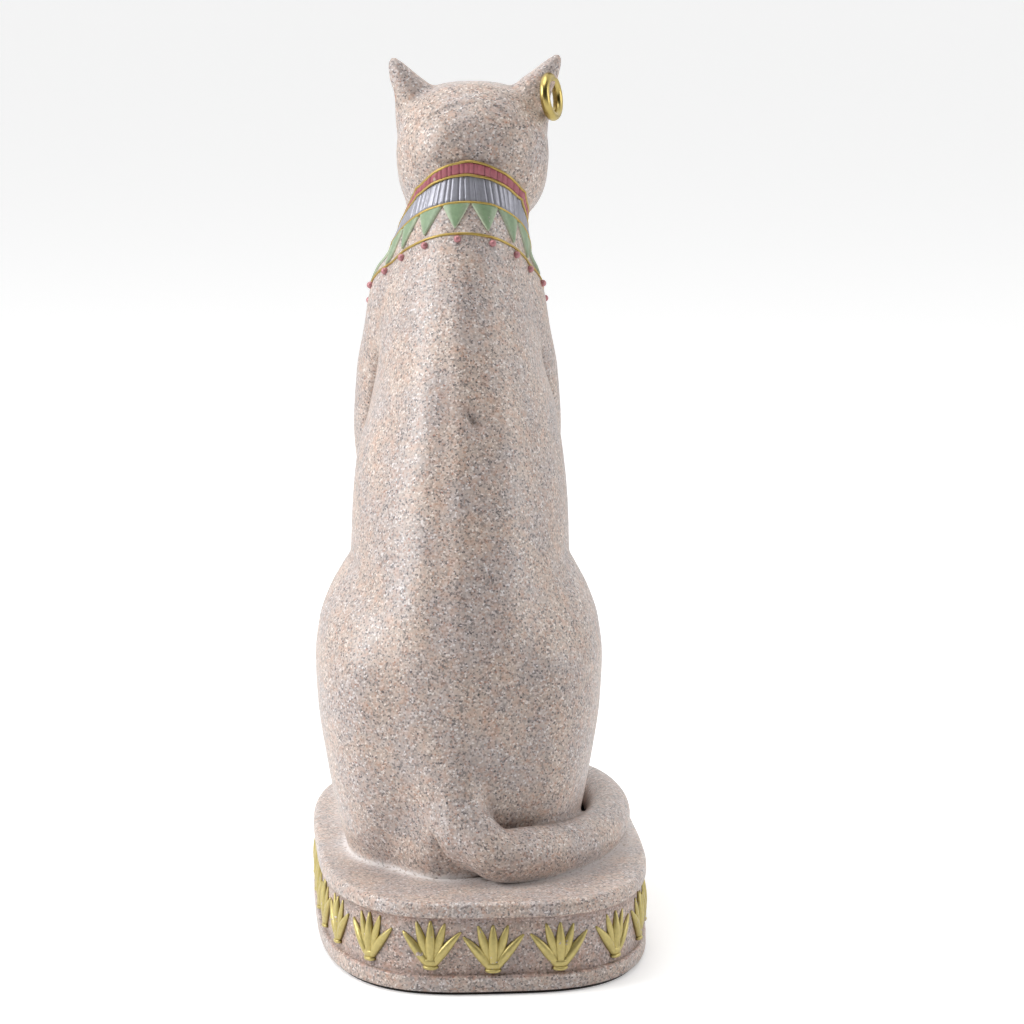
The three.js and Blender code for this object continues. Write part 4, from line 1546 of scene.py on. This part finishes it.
def new_group(name, inputs, outputs):
    group = bpy.data.node_groups.new(name, "ShaderNodeTree")
    for title, kind, default in inputs:
        socket = group.interface.new_socket(title, in_out="INPUT", socket_type="NodeSocket" + kind)
        socket.default_value = default
    for title, kind in outputs:
        group.interface.new_socket(title, in_out="OUTPUT", socket_type="NodeSocket" + kind)
    return group, group.nodes.new("NodeGroupInput").outputs


def group_outputs(group, **values):
    target = group.nodes.new("NodeGroupOutput")
    for title, socket in values.items():
        group.links.new(socket, target.inputs[title])


def place_group(tree, group, inputs=None):
    return add_node(tree, "Group", inputs, node_tree=group).outputs


def new_material(name):
    material = bpy.data.materials.new(name)
    material.use_nodes = True
    tree = material.node_tree
    return material, tree, tree.nodes["Principled BSDF"].inputs


# %% [markdown]
# ## Stone grains
# The resin is full of crushed stone: pale grains of about half a millimetre, soft blots of peach, and
# ragged specks of grey, black and rust. All of it is cloudy, because the batch wasn't stirred evenly.
# Voronoi cells give each grain one colour of its own, and noise blots and clouds them. The group is
# built once, because the paint shows the same stone where it has worn off.

# %% The stone grain group
GRAIN_SIZE = 0.55
BLOT = {"size": 2.6, "from": 0.48, "to": 0.72, "share": 0.36}
CLOUD = {"size": 12, "from": 0.36, "to": 0.64}
COOL_CLOUD = (0.93, 0.95, 0.98, 1)
WARM_CLOUD = (1.03, 1.0, 0.96, 1)
SPECK = {"size": 1.7, "smallest": 0.1, "growth": 0.14, "palest": 0.42, "deepening": 0.5}
DARK_CHANCE, RUST_CHANCE = 0.4, 0.86
RUST_SHARE = 0.6
RAGGED = {"size": 0.55, "reach": 0.4}
GRAIN_COLORS = [
    (0.00, srgb(121, 113, 112)),
    (0.05, srgb(148, 138, 134)),
    (0.15, srgb(184, 157, 144)),
    (0.23, srgb(200, 183, 173)),
    (0.45, srgb(191, 177, 169)),
    (0.65, srgb(171, 159, 153)),
    (0.80, srgb(211, 199, 193)),
    (0.94, srgb(229, 221, 217)),
]
PEACH_BLOT = srgb(205, 164, 141)
DARK_SPECK = srgb(74, 69, 73)
RUST_SPECK = srgb(166, 104, 82)


def stone_coordinates(tree):
    """Places on the object in millimetres."""
    where = add_node(tree, "TexCoord").outputs["Object"]
    return add_node(tree, "VectorMath", {0: where, "Scale": 1 / MM}, operation="SCALE").outputs[0]


def ragged_coordinates(tree, where):
    """Shakes the coordinates a little, so that cells lose their round outlines."""
    shake = add_node(tree, "TexNoise", {"Vector": where, "Scale": 1 / RAGGED["size"], "Detail": 1})
    centred = add_node(tree, "VectorMath", {0: shake.outputs["Color"], 1: (0.5, 0.5, 0.5)},
                       operation="SUBTRACT")
    reach = (RAGGED["reach"],) * 3
    return add_node(tree, "VectorMath", {0: centred.outputs[0], 1: reach, 2: where},
                    operation="MULTIPLY_ADD").outputs[0]


def build_stone_group():
    group, _ = new_group("stone_grains", [], [("Color", "Color"), ("Height", "Float")])
    where = stone_coordinates(group)
    grain = add_node(group, "TexVoronoi", {"Vector": where, "Scale": 1 / GRAIN_SIZE})
    kind = add_node(group, "SeparateColor", {"Color": grain.outputs["Color"]})
    color = ramp(group, kind.outputs[0], GRAIN_COLORS, "CONSTANT")
    blot = noise_value(group, where, 1 / BLOT["size"], 3)
    peach = times(group, fade(group, blot, BLOT["from"], BLOT["to"]), BLOT["share"])
    color = mixed(group, peach, color, PEACH_BLOT)
    cloud = noise_value(group, where, 1 / CLOUD["size"], 2)
    warmth = fade(group, cloud, CLOUD["from"], CLOUD["to"])
    color = mixed(group, 1.0, color, mixed(group, warmth, COOL_CLOUD, WARM_CLOUD), "MULTIPLY")
    ragged = ragged_coordinates(group, where)
    speck = add_node(group, "TexVoronoi", {"Vector": ragged, "Scale": 1 / SPECK["size"]})
    chance = add_node(group, "SeparateColor", {"Color": speck.outputs["Color"]})
    reach = times_plus(group, chance.outputs[1], SPECK["growth"], SPECK["smallest"])
    inside = math_node(group, "LESS_THAN", speck.outputs["Distance"], reach)
    is_dark = math_node(group, "LESS_THAN", chance.outputs[0], DARK_CHANCE)
    is_rust = math_node(group, "GREATER_THAN", chance.outputs[0], RUST_CHANCE)
    dark_mask = times(group, inside, is_dark)
    rust_mask = times(group, inside, is_rust)
    depth = times_plus(group, chance.outputs[2], SPECK["deepening"], SPECK["palest"])
    color = mixed(group, times(group, dark_mask, depth), color, DARK_SPECK)
    color = mixed(group, times(group, rust_mask, RUST_SHARE), color, RUST_SPECK)
    group_outputs(group, Color=color, Height=kind.outputs[1])
    return group


STONE_GRAINS = build_stone_group()
print("grain colours:", len(GRAIN_COLORS))


# %% [markdown]
# ## The stone's skin
# Over the grains lie painted shade in the creases, the brown wash in the frieze and the pale casting
# seam. Each is mixed in by its attribute. The cast surface is smooth with a faint sheen, so its grains
# are barely felt: a weak bump and a thin coat are enough.

# %% The stone material
SEAM_COLOR = srgb(244, 239, 237)
WASH_COLOR = srgb(134, 104, 98)
# Painted shade in the creases: its colour and how strongly it darkens them
CREASE_SHADE_COLOR = srgb(112, 88, 76)
CREASE_SHADE_SHARE = 0.5
WASH_SHARE = 0.34
SEAM_GRAIN = {"scale": 1.1, "from": 0.28, "to": 0.5, "strength": 1.6}
SMOOTHEST = 0.33
GRAIN_ROUGHENS = 0.1
CREASE_ROUGHENS = 0.3


def make_stone():
    material, tree, shader = new_material("stone_resin")
    stone = place_group(tree, STONE_GRAINS)
    where = stone_coordinates(tree)
    # Painted shade: the deeper a crease, the darker and browner the stone
    crease_shade = times(tree, attribute(tree, "hollow"), CREASE_SHADE_SHARE)
    color = mixed(tree, crease_shade, stone["Color"], CREASE_SHADE_COLOR)
    wash = times(tree, attribute(tree, "wash"), WASH_SHARE)
    color = mixed(tree, wash, color, mixed(tree, 1.0, color, WASH_COLOR, "OVERLAY"))
    fine = noise_value(tree, where, SEAM_GRAIN["scale"], 2)
    grainy = fade(tree, fine, SEAM_GRAIN["from"], SEAM_GRAIN["to"])
    grainy = times(tree, grainy, SEAM_GRAIN["strength"])
    seam = times(tree, attribute(tree, "seam"), grainy, clamp=True)
    color = mixed(tree, seam, color, SEAM_COLOR)
    rough = times_plus(tree, stone["Height"], GRAIN_ROUGHENS, SMOOTHEST)
    rough = times_plus(tree, crease_shade, CREASE_ROUGHENS, rough)
    fill_inputs(tree, shader, {
        "Base Color": color, "Roughness": rough, "Coat Weight": 0.12, "Coat Roughness": 0.3,
        "IOR": 1.5, "Normal": bumped(tree, stone["Height"], strength=0.12, depth=0.05),
    })
    return material


# %% [markdown]
# ## Hand-painted finishes
# All the paints are brushed over the same relief: thin on the crowns, where the stone shows through in
# worn patches, and darkened in the creases with painted shade. One group gives these masks, and each
# paint sets its colours.

# %% The painted relief group
STREAK = {"scale": 0.9, "contrast": 0.5, "darkest": 0.75, "in_crease": 0.3, "in_wear": 0.45}
PATCH = {"scale": 0.34, "in_wear": 0.75}
CREASE_SHADE = {"from": 0.55, "to": 1.05}
WEAR = {"limit": 0.8, "drop": -0.3}


def build_paint_group():
    group, given = new_group(
        "brushed_paint",
        [("Paint", "Color", (1, 1, 1, 1)), ("Crease shade", "Color", (0, 0, 0, 1)),
         ("Wear", "Float", 0.0), ("Crease depth", "Float", 0.8)],
        [("Color", "Color"), ("Paint cover", "Float"), ("Height", "Float")],
    )
    where = stone_coordinates(group)
    stone = place_group(group, STONE_GRAINS)
    hollow = attribute(group, "hollow")
    streak = noise_value(group, where, STREAK["scale"], 3)
    patch = noise_value(group, where, PATCH["scale"], 2)
    coat = times_plus(group, streak, STREAK["contrast"], STREAK["darkest"])
    coat = add_node(group, "CombineColor", {0: coat, 1: coat, 2: coat}).outputs[0]
    paint = mixed(group, 1.0, given["Paint"], coat, "MULTIPLY")
    # Painted shade: creases and grooves take the paint's darker crease colour
    crease = times_plus(group, streak, STREAK["in_crease"], hollow)
    crease = fade(group, crease, CREASE_SHADE["from"], CREASE_SHADE["to"])
    crease = times(group, crease, given["Crease depth"])
    color = mixed(group, crease, paint, given["Crease shade"])
    limit = times_plus(group, given["Wear"], WEAR["drop"], WEAR["limit"])
    worn = times(group, patch, PATCH["in_wear"])
    worn = times_plus(group, streak, STREAK["in_wear"], worn)
    worn = math_node(group, "GREATER_THAN", worn, limit)
    worn = times(group, worn, math_node(group, "SUBTRACT", 1.0, hollow, clamp=True))
    color = mixed(group, worn, color, stone["Color"])
    cover = math_node(group, "SUBTRACT", 1.0, worn)
    group_outputs(group, **{"Color": color, "Paint cover": cover, "Height": streak})
    return group


BRUSHED_PAINT = build_paint_group()


# %% [markdown]
# ## Paints, metal and felt
# The gold of the leaves and lines is paint, so it is only half metallic and loses that where it has
# worn. The hoop is real metal with a cloudy tarnish. The felt is dark, rough and a little fluffy.

# %% Mix the paints, the metal and the felt
def make_paint(name, paint, crease, metallic, roughness, wear=0.0, crease_shade_depth=0.8, rim_highlight=None):
    material, tree, shader = new_material(name)
    # A rim colour is a painted highlight along a relief's edges
    if rim_highlight:
        paint = mixed(tree, attribute(tree, "rim_highlight"), paint, rim_highlight)
    look = place_group(tree, BRUSHED_PAINT, {"Paint": paint, "Crease shade": crease, "Wear": wear,
                                             "Crease depth": crease_shade_depth})
    fill_inputs(tree, shader, {
        "Base Color": look["Color"], "Roughness": roughness,
        "Metallic": times(tree, look["Paint cover"], metallic),
        "Normal": bumped(tree, look["Height"], strength=0.25, depth=0.12),
    })
    return material


def make_hoop_gold():
    material, tree, shader = new_material("hoop_gold")
    tarnish = noise_value(tree, stone_coordinates(tree), 0.35, 3)
    color = mixed(tree, tarnish, srgb(172, 150, 84), srgb(208, 190, 124))
    rough = times_plus(tree, tarnish, 0.2, 0.2)
    fill_inputs(tree, shader, {"Base Color": color, "Metallic": 1.0, "Roughness": rough})
    return material


def make_felt_cloth():
    material, tree, shader = new_material("felt_cloth")
    fibre = noise_value(tree, stone_coordinates(tree), 5, 4)
    fill_inputs(tree, shader, {
        "Base Color": mixed(tree, fibre, srgb(30, 26, 25), srgb(62, 56, 54)), "Roughness": 0.95,
        "Sheen Weight": 0.3, "Normal": bumped(tree, fibre, strength=0.6, depth=0.2),
    })
    return material


STONE = make_stone()
# Each paint's second colour is the painted shade laid in its creases
LEAF_GOLD = make_paint("leaf_gold", srgb(200, 184, 118), srgb(110, 90, 42), 0.5, 0.36, wear=0.12)
LINE_GOLD = make_paint("line_gold", srgb(184, 158, 88), srgb(104, 88, 36), 0.6, 0.36, wear=0.05)
ROSE = make_paint("rose_paint", srgb(172, 98, 108), srgb(104, 38, 50), 0.05, 0.36)
ROSE_BEAD = make_paint("rose_bead_paint", srgb(188, 130, 134), srgb(130, 74, 80), 0.25, 0.28)
SILVER = make_paint("silver_paint", srgb(158, 158, 168), srgb(72, 72, 88), 0.3, 0.32)
GREEN = make_paint("green_paint", srgb(128, 152, 118), srgb(84, 100, 74), 0, 0.42,
                   rim_highlight=srgb(190, 202, 176))
HOOP_GOLD = make_hoop_gold()
FELT_CLOTH = make_felt_cloth()

# %% [markdown]
# ## Putting the pieces together
# Every piece rides on the one body and stands for the CAD node whose place it takes. The statue is one
# casting, so its skin, collar and frieze all replace the same node.

# %% Link the pieces and hide the nodes they replace
def finish_piece(name, mesh, to_statue, material, node="statue"):
    """Brings a mesh to its place on the statue, smooth-shaded, as a piece with its material."""
    mesh.transform(to_statue)
    mesh.polygons.foreach_set("use_smooth", [True] * len(mesh.polygons))
    mesh.materials.clear()
    mesh.materials.append(material)
    piece = link_object(name, mesh)
    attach(piece, "root")
    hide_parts(node)
    print(f"{name}: {len(mesh.vertices)} vertices")


finish_piece("cat_body", body_mesh, CAT_FRAME, STONE)
finish_piece("cat_head", head_mesh, CAT_FRAME, STONE)
finish_piece("plinth", plinth_mesh, PLINTH_FRAME, STONE)
finish_piece("lotus_frieze", flowers_mesh, PLINTH_FRAME, LEAF_GOLD)
finish_piece("rose_band", band_meshes["rose_band"], CAT_FRAME, ROSE)
finish_piece("silver_band", band_meshes["silver_band"], CAT_FRAME, SILVER)
for name, mesh in line_meshes.items():
    finish_piece(name, mesh, CAT_FRAME, LINE_GOLD)
finish_piece("green_points", points_mesh, CAT_FRAME, GREEN)
finish_piece("rose_beads", beads_mesh, CAT_FRAME, ROSE_BEAD)
finish_piece("hoop", hoop_mesh, CAT_FRAME, HOOP_GOLD, "earring")
finish_piece("felt", felt_mesh, PLINTH_FRAME, FELT_CLOTH, "felt_pad")

# %% [markdown]
# ## Studio
# The photograph has a white room with a broad window from the left, a weaker panel from the right and
# soft light from above. The room behind the camera was dark, so the middle of the back is in half
# shade. A gradient round the world gives that: white where the statue looks, dark behind its back. The
# camera itself sees white all round. A wide paper floor runs to the horizon. It glows a little for the
# camera alone, so that it looks white without lighting the statue from below.

# %% Floor, room and lights
FLOOR_SIZE = 30
ROOM = {"front": 1.0, "rear": 0, "seen": 1.0, "from": -0.7, "to": 0.7}
PAPER_GLOW = 0.3
TARGET = Vector((0, 0, 0.14))


def make_floor():
    bm = bmesh.new()
    bmesh.ops.create_grid(bm, x_segments=1, y_segments=1, size=FLOOR_SIZE)
    floor = object_from(bm, "floor")
    material, tree, shader = new_material("paper")
    seen = add_node(tree, "LightPath").outputs["Is Camera Ray"]
    fill_inputs(tree, shader, {
        "Base Color": srgb(246, 246, 246), "Roughness": 0.9, "Emission Color": (1, 1, 1, 1),
        "Emission Strength": times(tree, seen, PAPER_GLOW),
    })
    floor.data.materials.append(material)


def make_room():
    world = bpy.data.worlds.new("studio")
    world.use_nodes = True
    tree = world.node_tree
    direction = add_node(tree, "TexCoord").outputs["Generated"]
    towards_rear = add_node(tree, "SeparateXYZ", {0: direction}).outputs["Y"]
    given = add_node(tree, "MapRange", {
        "Value": towards_rear, "From Min": ROOM["from"], "From Max": ROOM["to"],
        "To Min": ROOM["front"], "To Max": ROOM["rear"],
    }, interpolation_type="SMOOTHSTEP").outputs["Result"]
    seen = add_node(tree, "LightPath").outputs["Is Camera Ray"]
    strength = add_node(tree, "Mix", {"Factor": seen, "A": given, "B": ROOM["seen"]})
    fill_inputs(tree, tree.nodes["Background"].inputs,
                {"Color": (1, 1, 1, 1), "Strength": strength.outputs["Result"]})
    bpy.context.scene.world = world


def new_light(name, kind, place, power, **settings):
    data = bpy.data.lights.new(name, kind)
    data.energy = power
    for setting, value in settings.items():
        setattr(data, setting, value)
    light = link_object(name, data)
    light.location = place
    look_along(light, TARGET - Vector(place))


make_floor()
make_room()
new_light("soft_sun", "SUN", (0.9, -0.2, 1.6), 0.5, angle=math.radians(60))
new_light("left_window", "AREA", (1.15, 0.22, 0.7), 10, size=0.7)
new_light("right_panel", "AREA", (-1.15, 0.25, 0.5), 4, size=0.7)
new_light("ceiling_panel", "AREA", (0.1, 0.1, 1.3), 5.4, size=0.8)
bpy.context.scene.view_settings.view_transform = "Standard"
